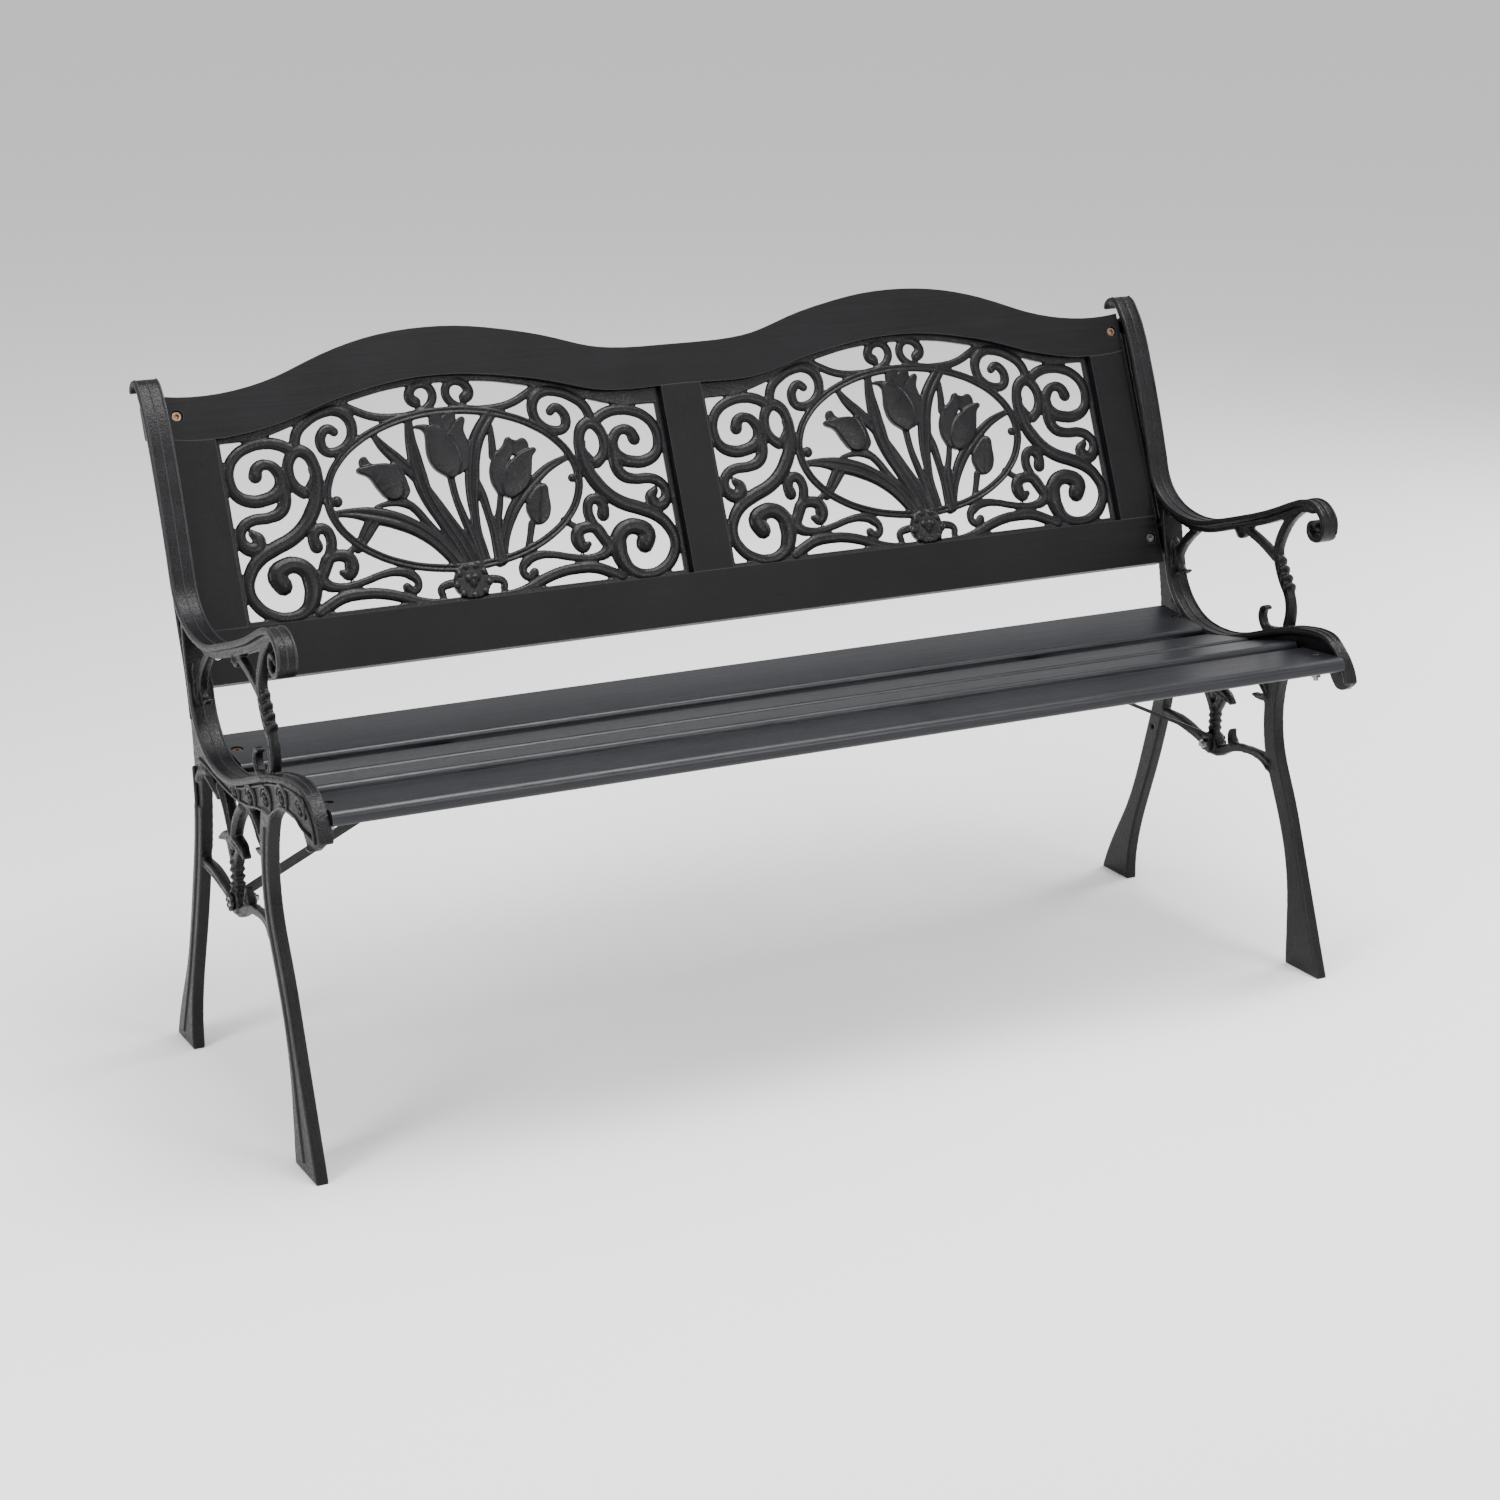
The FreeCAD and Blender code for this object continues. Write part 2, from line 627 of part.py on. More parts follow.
# Scrollwork of the left half; the right half mirrors it. (across, up, half width)
SCROLLS = [
    [(-212.5, 66, 11), (-217.5, 78, 11), (-207.5, 86, 10), (-195.5, 87, 9.5),
     (-184.5, 80, 10), (-180, 67, 11), (-182.3, 50, 10), (-191.5, 37, 8),
     (-209.5, 31, 7), (-230.5, 36, 7), (-245.5, 50, 7), (-250.5, 66, 7),
     (-245.5, 83, 7.5), (-234.5, 96, 8), (-216.5, 106, 8.5), (-194.5, 115, 8.5),
     (-179.2, 126, 8.5), (-166.3, 142, 9), (-158, 160, 8), (-155, 178, 7.5),
     (-156, 193, 7), (-162, 205, 7.5), (-172, 209, 7.5), (-181, 202, 7),
     (-185.3, 187, 6.5), (-181.5, 172, 7), (-172, 163, 7)],
    [(-165, 168, 5), (-158, 180, 5), (-160.5, 188, 3)],
    [(-222.5, 186, 8), (-218.5, 195, 7), (-207.5, 197.5, 6), (-198, 190, 7),
     (-194.5, 178, 8), (-201.5, 166, 8), (-216.5, 160, 7.5), (-232.5, 160, 7.5),
     (-246.5, 168, 7), (-251.5, 182, 6.5), (-249.5, 198, 6.5), (-240.5, 210, 6.5),
     (-226.5, 217.5, 6.5), (-208.5, 220.5, 6.5), (-192, 218, 7), (-179, 211, 7)],
    [(-195.5, 174, 8), (-194.5, 158, 8), (-200.5, 146, 7.5), (-214.5, 140.5, 6.5),
     (-232.5, 139.5, 6.5), (-244.5, 134, 6.5), (-250, 123, 6.5), (-245.5, 111, 8),
     (-234.5, 109, 8.5), (-230.5, 118, 8), (-236, 125, 5)],
    [(-127, 226, 5.5), (-133, 230, 5.5), (-141, 225, 6), (-144, 214, 6.5),
     (-139, 205, 6), (-127, 204.5, 5.5), (-114, 211, 6), (-106.5, 224, 6.5),
     (-109, 240, 7), (-121, 249, 7), (-138, 248, 6.5), (-156, 240, 6.5),
     (-168.5, 229, 6.5), (-174, 214, 6.5)],
    [(-114, 256, 4), (-98, 246, 5), (-80, 238.5, 5), (-58, 235.5, 5),
     (-38, 236, 5), (-20, 241, 5), (-9.5, 250, 5.5), (-8, 260, 5.5),
     (-14, 268, 5), (-24, 269.5, 5.5), (-33, 263, 6), (-34, 254, 7), (-29, 250, 7)],
    [(-168.5, 104, 8), (-170, 114, 7), (-164.7, 122, 6.5), (-156.3, 122, 6.5),
     (-151, 112, 6.5), (-152.5, 100, 6.5), (-157.9, 88, 7), (-164, 78, 7.5),
     (-168.5, 68, 8), (-163, 61, 7), (-154, 58, 5.5), (-140, 57.5, 4.5),
     (-120, 61, 4.5), (-100, 66, 4.5), (-82, 67, 5.5), (-68, 62, 6.5),
     (-61.5, 52, 5), (-67, 44, 4.5), (-75, 49, 5.5)],
    [(-164, 80, 7), (-157, 90, 7.5), (-145, 92, 7), (-135, 88, 8), (-133, 78, 9),
     (-138, 70, 7), (-145, 73, 4)],
    [(-178, 32, 7), (-163, 40, 7), (-148, 46, 7), (-128, 47.5, 6.5),
     (-108, 46, 6.5), (-88, 41, 6.5), (-70, 34, 6), (-52, 29.5, 5), (-36, 28, 4)],
    [(-14, 47, 5), (-29, 46.5, 5), (-37, 42, 4.5), (-36, 35, 4.5)],
    [(-120, 103, 4), (-130, 96, 4), (-138, 91, 4)],
]
# Leaves and stems of the flowers, which are not mirrored
LEAVES = [
    [(-145, 137, 3), (-123, 136, 5.5), (-100, 131, 9), (-70, 121, 9.5),
     (-43, 104, 8), (-23, 83, 7), (-11, 64, 6)],
    [(-101, 124, 8), (-112, 110, 7), (-123, 95, 4)],
    [(-94, 140, 2), (-80, 142, 3.5), (-66, 141, 4), (-53, 136, 4.5)],
    [(-66, 146, 4), (-53, 136, 5), (-36, 112, 5), (-20, 90, 5), (-6, 66, 5)],
    [(-84, 219, 3), (-76, 206, 5.5), (-62, 190, 7), (-46, 172, 6.5),
     (-32, 150, 6), (-14, 118, 6), (2, 88, 6), (10, 64, 5)],
    [(-40, 234, 4), (-42, 212, 6), (-41, 190, 8), (-39, 168, 9), (-34, 145, 8),
     (-22, 118, 7), (-8, 90, 7), (2, 64, 6)],
    [(-3, 165, 4.5), (-1, 140, 4.5), (4, 118, 5), (10, 92, 5), (15, 64, 5)],
    [(55, 229, 7), (42, 214, 8), (32, 198, 8.5), (26, 180, 8), (21.5, 160, 8.5),
     (18, 140, 7), (17, 120, 5.5), (17, 100, 5), (20, 80, 5), (22, 64, 5)],
    [(25, 158, 5), (30, 140, 5.5), (33, 120, 5), (36, 98, 5.5), (36, 80, 5.5), (36, 64, 5.5)],
    [(53, 215, 3.5), (52, 198, 4.5), (50, 182, 5)],
    [(52, 142, 3.5), (48, 126, 4), (43, 110, 4.5), (42, 92, 5), (42, 66, 5)],
    [(142, 174, 3), (116, 165, 5), (96, 152, 6), (72, 131, 7), (60, 116, 7),
     (49, 94, 5.5), (42, 72, 5), (39, 64, 5)],
    [(82, 103, 4.5), (77, 88, 4), (71, 72, 4)],
]
FLOWERS = [
    [(54, 136), (42, 150), (39, 165), (44, 180), (54, 190), (67, 202), (70, 196),
     (85, 200), (89, 190), (97, 185), (90, 172), (87, 155), (74, 140), (64, 137)],
    [(-3, 161), (-18, 170), (-28, 185), (-30, 205), (-36, 223), (-18, 223),
     (0, 236), (9, 234), (19, 229), (19, 205), (24, 190), (20, 178), (7, 168)],
    [(-70, 144), (-83, 150), (-96, 168), (-113, 182), (-108, 186), (-108, 191),
     (-102, 195), (-96, 189), (-78, 186), (-66, 180), (-56, 165), (-58, 150)],
    [(78, 128), (88, 143), (100, 146), (103, 130), (102, 114), (92, 102),
     (82, 101), (76, 112)],
]
KNOBS = [(-138, 150, 6.5), (139, 150, 5.0)]
MEDALLION = [(-10, 30), (-20, 40), (-20, 52), (-12, 64), (0, 66), (12, 64),
             (20, 52), (20, 40), (10, 30), (0, 27.5)]
Y_AXIS = Vector(0, 1, 0)


def board_ribbon(stroke):
    """The faces of one band seen from the front, before the back is leaned."""
    return ribbon(stroke, front, Y_AXIS)


def flipped(stroke):
    return [(-a, b, half) for a, b, half in stroke]


def closed_curve(pairs):
    """A smooth closed outline."""
    curve = Part.BSplineCurve()
    curve.interpolate(Points=[front(a, b) for a, b in pairs], PeriodicFlag=True)
    return Part.Face(Part.Wire([curve.toShape()]))


def straight_curve(pairs):
    """A closed outline with sharp tips, for the petals."""
    points = [front(a, b) for a, b in pairs]
    return Part.Face(Part.makePolygon(points + [points[0]]))


def topped_plate(top, floor):
    """A plate with a level foot, upright sides and a curved top."""
    points = [front(a, b) for a, b in top]
    low_left = front(top[0][0], floor)
    low_right = front(top[-1][0], floor)
    edges = [spline(points)]
    edges.append(Part.makeLine(points[-1], low_right))
    edges.append(Part.makeLine(low_right, low_left))
    edges.append(Part.makeLine(low_left, points[0]))
    return Part.Face(Part.Wire(edges))


def ring_face():
    """The oval band around the flowers."""
    faces = []
    for grow in (RING_HALF, -RING_HALF):
        oval = Part.Ellipse(Vector(0, 0, 0), RING_LONG + grow, RING_SHORT + grow)
        wire = Part.Wire([oval.toShape()])
        wire.Placement = FreeCAD.Placement(
            front(*RING_CENTRE), FreeCAD.Rotation(X_AXIS, 90))
        faces.append(Part.Face(wire))
    return faces[0].cut(faces[1])


def thick(faces):
    """Flat outlines given the thickness of the panel and fused in turn."""
    result = None
    for solid in prisms(faces, Vector(0, PANEL_T, 0), Vector(0, 0, 0)):
        result = solid if result is None else result.fuse(solid)
    return result


def scrollwork():
    """The scrolls on the left half of a panel."""
    result = None
    for stroke in SCROLLS:
        band = thick(board_ribbon(stroke))
        result = band if result is None else result.fuse(band)
    return result


def flowerwork():
    """Leaves, stems and flower heads inside the oval."""
    result = None
    for stroke in LEAVES:
        band = thick(board_ribbon(stroke))
        result = band if result is None else result.fuse(band)
    for outline in FLOWERS:
        result = result.fuse(thick([straight_curve(outline)]))
    return result


def panel_casting():
    """The whole openwork of a panel, standing upright."""
    plate = topped_plate(PANEL_TOP, WINDOW_FLOOR - PANEL_TONGUE)
    inner = topped_plate(RIM_TOP, RIM_FLOOR)
    rim = thick([plate.cut(inner), closed_curve(MEDALLION)])
    knobs = [disc(front(across, up), Y_AXIS, radius) for across, up, radius in KNOBS]
    oval = thick([ring_face()] + knobs).fuse(flowerwork())
    half = scrollwork()
    whole = rim.fuse(oval).fuse(half).fuse(mirrored(half)).removeSplitter()
    return largest(whole.common(thick([plate])))


def panel_blanks(gap):
    """Plates the size of the two castings, grown by a gap, to cut grooves."""
    blanks = []
    for sign in (-1, 1):
        top = []
        for a, b in PANEL_TOP:
            grow = gap if a > 0 else -gap
            top.append((a + (grow if abs(a) > 266 else 0.0), b + gap))
        plate = topped_plate(top, WINDOW_FLOOR - PANEL_TONGUE - gap)
        blank = plate.extrude(Vector(0, PANEL_T + 2 * gap, 0))
        blank.translate(Vector(sign * WINDOW_MID, PANEL_FRONT - gap, 0))
        blanks.append(blank)
    return blanks


def panels():
    solid = panel_casting()
    result = []
    for sign in (-1, 1):
        one = solid.copy()
        one.translate(Vector(sign * WINDOW_MID, PANEL_FRONT, 0))
        result.append(leaned(one))
    return result


# ------------------------------------------------------------ straps and braces
def strap_underside():
    """Forward and height of the strap underside where the brace is fixed."""
    rear = under_point(SLATS[0][1], SLATS[0][2], slat_frame(*SLATS[0][1:])[0], SLAT_T)
    lead = under_point(SLATS[1][1], SLATS[1][2], 0.0, SLAT_T)
    return min(rear[1], lead[1]) - STRAP_T


def seat_strap():
    strap = strip_under_slats(
        STRAP_X - STRAP_WIDTH / 2, STRAP_X + STRAP_WIDTH / 2, STRAP_T, 15.0, 22.0)
    cutters = []
    for name, rear_top, front_top in SLATS:
        width, tilt = slat_frame(rear_top, front_top)
        forward, height = under_point(rear_top, front_top, width / 2, SLAT_T - 2)
        cutters.append(cylinder(
            side(forward, height, STRAP_X), down_axis(tilt), SCREW_R + 0.3, 12))
    tab_z = strap_underside() - 2.2
    tab = Part.makeBox(
        STRAP_WIDTH, BRACE_WIDTH, 4.0,
        side(HUB[0] + BRACE_WIDTH / 2, tab_z, STRAP_X - STRAP_WIDTH / 2))
    strap = joined([strap, tab])
    bore = cylinder(side(HUB[0], tab_z - 5, STRAP_X), Vector(0, 0, 1), 2.8, 10)
    cutters.append(bore)
    return largest(strap.cut(cutters)), tab_z


def brace(tab_z):
    """A flat bar bent at both ends, from the casting hub up to the strap."""
    half = BRACE_WIDTH / 2
    outer = WEB_INNER - 3
    inner = STRAP_X - STRAP_WIDTH / 2
    foot = HUB[1] - 9
    bend = HUB[1] + 10
    top = tab_z
    t = BRACE_T
    profile = [
        (outer, foot), (outer, bend + 2), (STRAP_X + 14, top), (inner, top),
        (inner, top - t), (STRAP_X + 15, top - t), (outer - t, bend - 1),
        (outer - t, foot),
    ]
    points = [side(HUB[0] + half, z, x) for x, z in profile]
    face = Part.Face(Part.makePolygon(points + [points[0]]))
    bar = face.extrude(Vector(0, BRACE_WIDTH, 0))
    cuts = [cylinder(side(HUB[0], HUB[1], outer - 20), X_AXIS, BOLT_HOLE_R, 40)]
    cuts.append(cylinder(side(HUB[0], top - 10, STRAP_X), Vector(0, 0, 1), 2.8, 20))
    return largest(bar.cut(cuts))


# -------------------------------------------------------------------- fasteners
def bolt(start, axis, grip, shank_r=BOLT_R, head_r=HEAD_R):
    """Socket head resting at start, shank running along the axis."""
    head = cylinder(start - axis * HEAD_T, axis, head_r, HEAD_T)
    shank = cylinder(start, axis, shank_r, grip)
    key_hole = hexagon_prism(start - axis * HEAD_T, axis, SOCKET_FLAT, SOCKET_DEPTH)
    return joined([head, shank]).cut(key_hole)


def washer(start, axis, hole=BOLT_R + 0.15):
    ring = cylinder(start, axis, WASHER_R, WASHER_T)
    return ring.cut(cylinder(start - axis, axis, hole, WASHER_T + 2))


def nut(start, axis, hole=BOLT_R + 0.02, flat=NUT_FLAT, tall=NUT_T):
    body = hexagon_prism(start, axis, flat, tall)
    return body.cut(cylinder(start - axis, axis, hole, tall + 2))


def slat_fasteners():
    bolts, washers, nuts = [], [], []
    for name, rear_top, front_top in SLATS:
        if name not in BOLTED:
            continue
        spot, tilt = slat_bolt_spot(rear_top, front_top)
        down = down_axis(tilt)
        for sign in (-1, 1):
            top = side(spot[0], spot[1], sign * SLAT_BOLT_X)
            seat = top + down * COUNTERBORE_DEPTH
            under = top + down * (SLAT_T + LEDGE_T * math.cos(tilt) + 0.1)
            bolts.append(bolt(seat, down, SLAT_T + LEDGE_T + 5.0))
            washers.append(washer(under, down))
            nuts.append(nut(under + down * WASHER_T, down))
    return bolts, washers, nuts


def back_fasteners():
    bolts, washers, nuts = [], [], []
    for v in (0.0, TOP_BOLT_V):
        for sign in (-1, 1):
            x = sign * BACK_BOLT_X
            axis = Vector(0, 1, 0)
            seat = Vector(x, COUNTERBORE_DEPTH, v)
            behind = Vector(x, BACK_T + 7.0, v)
            bolts.append(leaned(bolt(seat, axis, BACK_T + 12.0)))
            washers.append(leaned(washer(behind, axis)))
            nuts.append(leaned(nut(behind + axis * WASHER_T, axis)))
    return bolts, washers, nuts


def brace_fasteners(tab_z):
    bolts, nuts, small_bolts, small_nuts = [], [], [], []
    for sign in (-1, 1):
        inward = Vector(-sign, 0, 0)
        seat = side(HUB[0], HUB[1], sign * (WEB_INNER + WEB_THICK + 1))
        grip = WEB_THICK + 4 + BRACE_T + 8
        bolts.append(bolt(seat, inward, grip))
        face = seat + inward * (WEB_THICK + 4 + BRACE_T)
        nuts.append(nut(face, inward))
        below = side(HUB[0], tab_z - BRACE_T, sign * STRAP_X)
        up = Vector(0, 0, 1)
        small_bolts.append(joined([
            cylinder(below - up * 3.0, up, 4.5, 3.0),
            cylinder(below, up, 2.5, BRACE_T + 3.4)]))
    return bolts, nuts, small_bolts


def strap_screws():
    screws = []
    for name, rear_top, front_top in SLATS:
        width, tilt = slat_frame(rear_top, front_top)
        down = down_axis(tilt)
        for sign in (-1, 1):
            forward, height = under_point(
                rear_top, front_top, width / 2, SLAT_T + STRAP_T / math.cos(tilt) + 0.05)
            seat = side(forward, height, sign * STRAP_X)
            head = cylinder(seat, down, SCREW_HEAD_R, 2.0)
            shank = cylinder(seat - down * (STRAP_T + 9.0), down, SCREW_R, STRAP_T + 9.0)
            screws.append(joined([head, shank]))
    return screws


def ledge_screws():
    screws = []
    for name, rear_top, front_top in SLATS:
        if name in BOLTED:
            continue
        width, tilt = slat_frame(rear_top, front_top)
        down = down_axis(tilt)
        for sign in (-1, 1):
            forward, height = under_point(
                rear_top, front_top, width / 2, SLAT_T + LEDGE_T / math.cos(tilt) + 0.05)
            seat = side(forward, height, sign * SLAT_BOLT_X)
            head = cylinder(seat, down, SCREW_HEAD_R, 2.0)
            shank = cylinder(seat - down * (LEDGE_T + 8.0), down, SCREW_R, LEDGE_T + 8.0)
            screws.append(joined([head, shank]))
    return screws


# ------------------------------------------------------------------------ build
right = end_casting()
export("right_end_frame", right)
export("left_end_frame", mirrored(right))
export("back_top_rail", top_rail())
export("back_bottom_rail", bottom_rail())
for stile_name, x_from, x_to, top in STILES:
    export(stile_name, stile(stile_name, x_from, x_to, top))
left_panel, right_panel = panels()
export("panel_left", left_panel)
export("panel_right", right_panel)
for slat_name, rear_top, front_top in SLATS:
    export(slat_name, seat_slat(slat_name, rear_top, front_top))
strap, tab_height = seat_strap()
export("seat_strap_right", strap)
export("seat_strap_left", mirrored(strap))
bar = brace(tab_height)
export("brace_right", bar)
export("brace_left", mirrored(bar))
for prefix, group in (("slat", slat_fasteners()), ("back", back_fasteners())):
    export(prefix + "_bolts", Part.makeCompound(group[0]))
    export(prefix + "_washers", Part.makeCompound(group[1]))
    export(prefix + "_nuts", Part.makeCompound(group[2]))
hub_bolts, hub_nuts, tab_bolts = brace_fasteners(tab_height)
export("brace_bolts", Part.makeCompound(hub_bolts))
export("brace_nuts", Part.makeCompound(hub_nuts))
export("strap_rivets", Part.makeCompound(tab_bolts))
export("strap_screws", Part.makeCompound(strap_screws()))
export("ledge_screws", Part.makeCompound(ledge_screws()))
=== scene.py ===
# %% [markdown]
# # A garden bench with cast ends and flower panels
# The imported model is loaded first. It is the bench at its real size, in metres,
# with the front of the seat towards -Y and the ground at height zero. Every
# piece made here is placed in the same frame, so nothing has to be fitted.

# %% Load the bench
import math

import bpy
from mathutils import Matrix, Vector


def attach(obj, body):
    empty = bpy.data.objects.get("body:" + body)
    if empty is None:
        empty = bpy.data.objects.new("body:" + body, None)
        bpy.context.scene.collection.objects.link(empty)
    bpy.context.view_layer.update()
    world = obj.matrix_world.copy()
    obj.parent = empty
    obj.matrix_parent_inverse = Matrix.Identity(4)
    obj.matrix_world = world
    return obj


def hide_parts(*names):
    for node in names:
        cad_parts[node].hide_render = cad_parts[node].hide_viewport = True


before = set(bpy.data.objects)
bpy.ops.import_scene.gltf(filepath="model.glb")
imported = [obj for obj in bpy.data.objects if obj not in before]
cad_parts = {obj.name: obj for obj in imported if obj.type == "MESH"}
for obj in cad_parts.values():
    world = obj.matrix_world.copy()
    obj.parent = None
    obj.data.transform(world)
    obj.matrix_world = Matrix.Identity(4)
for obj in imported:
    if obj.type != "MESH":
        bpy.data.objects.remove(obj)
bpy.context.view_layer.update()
MM = 0.001
DATUM_Y = -4.96           # the side drawings are measured from here, in mm

# %% [markdown]
# ## Camera, floor and light
# The bench is seen from its front left, from a little above the seat. Three
# large soft lamps and a pale floor keep the black paint readable: black things
# are lit by what they reflect.

# %% Camera
camera_data = bpy.data.cameras.new("camera")
camera_data.lens = 75.07
camera_data.sensor_width = 36.0
camera = bpy.data.objects.new("camera", camera_data)
bpy.context.scene.collection.objects.link(camera)
camera.location = (-1.54438, -2.93334 + DATUM_Y * MM, 1.33217)
camera.rotation_euler = [math.radians(angle) for angle in (72.756, -0.10835, -27.4162)]
bpy.context.scene.camera = camera

# %% Floor, lamps and background
FLOOR_SIZE = 60.0
LAMPS = [
    ("overhead", (0.2, -0.5, 3.0), (2.2, 1.2), 130),
    ("from_left", (-3.2, -1.3, 1.9), (1.1, 1.6), 100),
    ("from_front", (1.6, -3.6, 2.2), (1.4, 1.0), 60),
    ("from_right", (3.2, 0.6, 1.5), (1.2, 1.6), 75),
]
AIM = Vector((0, 0, 0.4))


def new_look(name, colour, roughness):
    """A material with one shader, ready for its nodes."""
    look = bpy.data.materials.new(name)
    look.use_nodes = True
    shader = look.node_tree.nodes["Principled BSDF"]
    shader.inputs["Base Color"].default_value = (*colour, 1)
    shader.inputs["Roughness"].default_value = roughness
    return look


def plain_floor():
    bpy.ops.object.select_all(action="DESELECT")
    bpy.ops.mesh.primitive_plane_add(size=FLOOR_SIZE)
    floor = bpy.context.object
    floor.name = "floor"
    floor.data.materials.append(new_look("pale_floor", (0.95, 0.95, 0.95), 0.95))


def soft_lamp(name, place, size, power):
    light = bpy.data.lights.new(name, "AREA")
    light.shape = "RECTANGLE"
    light.size, light.size_y = size
    light.energy = power
    lamp = bpy.data.objects.new(name, light)
    bpy.context.scene.collection.objects.link(lamp)
    lamp.location = place
    lamp.rotation_euler = (AIM - Vector(place)).to_track_quat("-Z", "Y").to_euler()


plain_floor()
for name, place, size, power in LAMPS:
    soft_lamp(name, place, size, power)
world = bpy.data.worlds.new("studio")
bpy.context.scene.world = world
world.use_nodes = True
world.node_tree.nodes["Background"].inputs["Color"].default_value = (1, 1, 1, 1)
world.node_tree.nodes["Background"].inputs["Strength"].default_value = 0.8
print("lamps", len(LAMPS))

# %% [markdown]
# ## Finishes
# All of the bench is painted black, yet the parts look different. The castings
# carry a thick powder coat with a fine pebble; their edges, like the timber's, are
# painted paler as a highlight. The timber is sprayed thinly, so the grain still
# shows as long faint streaks with a soft gloss. Each finish is made of noise read
# from the object's own coordinates, so it is tied to the piece and has a real size.

# %% Helpers for the finishes
def start(look):
    tree = look.node_tree
    return tree, tree.nodes["Principled BSDF"]


def add(tree, kind, **values):
    """A node, with its settings or its inputs given by name."""
    node = tree.nodes.new(kind)
    for key, value in values.items():
        if hasattr(node, key):
            setattr(node, key, value)
        else:
            node.inputs[key.replace("_", " ")].default_value = value
    return node


def placed_noise(tree, stretch, scale, detail, roughness=0.6):
    """Noise on the object's coordinates, squeezed along some axes."""
    where = add(tree, "ShaderNodeTexCoord")
    squeeze = add(tree, "ShaderNodeMapping")
    squeeze.inputs["Scale"].default_value = stretch
    noise = add(tree, "ShaderNodeTexNoise", Scale=scale, Detail=detail, Roughness=roughness)
    tree.links.new(where.outputs["Object"], squeeze.inputs["Vector"])
    tree.links.new(squeeze.outputs["Vector"], noise.inputs["Vector"])
    return noise.outputs["Fac"]


def ramp(tree, source, low, high, at=(0.3, 0.7)):
    """A value or colour that runs from low to high as the source grows."""
    node = add(tree, "ShaderNodeValToRGB")
    for stop, value, place in zip(node.color_ramp.elements, (low, high), at):
        stop.color = (*value, 1) if isinstance(value, tuple) else (value, value, value, 1)
        stop.position = place
    tree.links.new(source, node.inputs["Fac"])
    return node.outputs["Color"]


def mixed(tree, share, first, second):
    """Two colours, the second in the share given by a value."""
    node = tree.nodes.new("ShaderNodeMix")
    node.data_type = "RGBA"
    tree.links.new(share, node.inputs[0])
    for socket, colour in ((node.inputs[6], first), (node.inputs[7], second)):
        if isinstance(colour, tuple):
            socket.default_value = (*colour, 1)
        else:
            tree.links.new(colour, socket)
    return node.outputs[2]


def bumped(tree, shader, layers):
    """Heights added one over another: (source, depth in mm)."""
    normal = None
    for source, depth in layers:
        bump = add(tree, "ShaderNodeBump", Strength=1.0, Distance=depth * MM)
        tree.links.new(source, bump.inputs["Height"])
        if normal is not None:
            tree.links.new(normal, bump.inputs["Normal"])
        normal = bump.outputs["Normal"]
    tree.links.new(normal, shader.inputs["Normal"])


# %% Powder coat on the castings
MATT_SHINE = 0.20         # how strongly matt black paint mirrors its surroundings


def cast_paint(name, dark, pale, highlight_colour, rough, pebble):
    """Powder coat: a fine pebble, uneven gloss, edges painted a little paler as a highlight."""
    look = new_look(name, dark, 0.5)
    tree, shader = start(look)
    shader.inputs["Specular IOR Level"].default_value = MATT_SHINE
    fine = placed_noise(tree, (1, 1, 1), 480, 3)
    broad = placed_noise(tree, (1, 1, 1), 38, 5)
    colour = ramp(tree, broad, dark, pale)
    # Paler colour on sharp edges, found by pointiness, is a painted edge highlight.
    edges = add(tree, "ShaderNodeNewGeometry")
    edge_highlight = ramp(tree, edges.outputs["Pointiness"], 0.0, 1.0, (0.52, 0.62))
    colour = mixed(tree, edge_highlight, colour, highlight_colour)
    tree.links.new(colour, shader.inputs["Base Color"])
    tree.links.new(ramp(tree, fine, rough[0], rough[1]), shader.inputs["Roughness"])
    bumped(tree, shader, [(broad, 0.5), (fine, pebble)])
    return look


# The third colour of each coat is its painted edge highlight.
frame_paint = cast_paint(
    "frame_powder_coat", (0.0015, 0.0015, 0.002), (0.0055, 0.0055, 0.0065),
    (0.034, 0.034, 0.037), (0.20, 0.55), 0.55)
panel_paint = cast_paint(
    "panel_matt_paint", (0.0015, 0.0015, 0.002), (0.004, 0.004, 0.005),
    (0.020, 0.020, 0.023), (0.24, 0.50), 0.22)
print("castings", frame_paint.name, panel_paint.name)


# %% Painted timber
EDGE_RADIUS = 1.4         # edges are painted paler this close to a corner, as a highlight, in mm


def highlight_near_corners(tree):
    """Where the painted edge highlight goes: one near the corners of a piece and zero on its flat faces.
    """
    soft = add(tree, "ShaderNodeBevel", Radius=EDGE_RADIUS * MM)
    flat = add(tree, "ShaderNodeNewGeometry")
    match = add(tree, "ShaderNodeVectorMath", operation="DOT_PRODUCT")
    tree.links.new(soft.outputs["Normal"], match.inputs[0])
    tree.links.new(flat.outputs["Normal"], match.inputs[1])
    return ramp(tree, match.outputs["Value"], 1.0, 0.0, (0.80, 0.99))


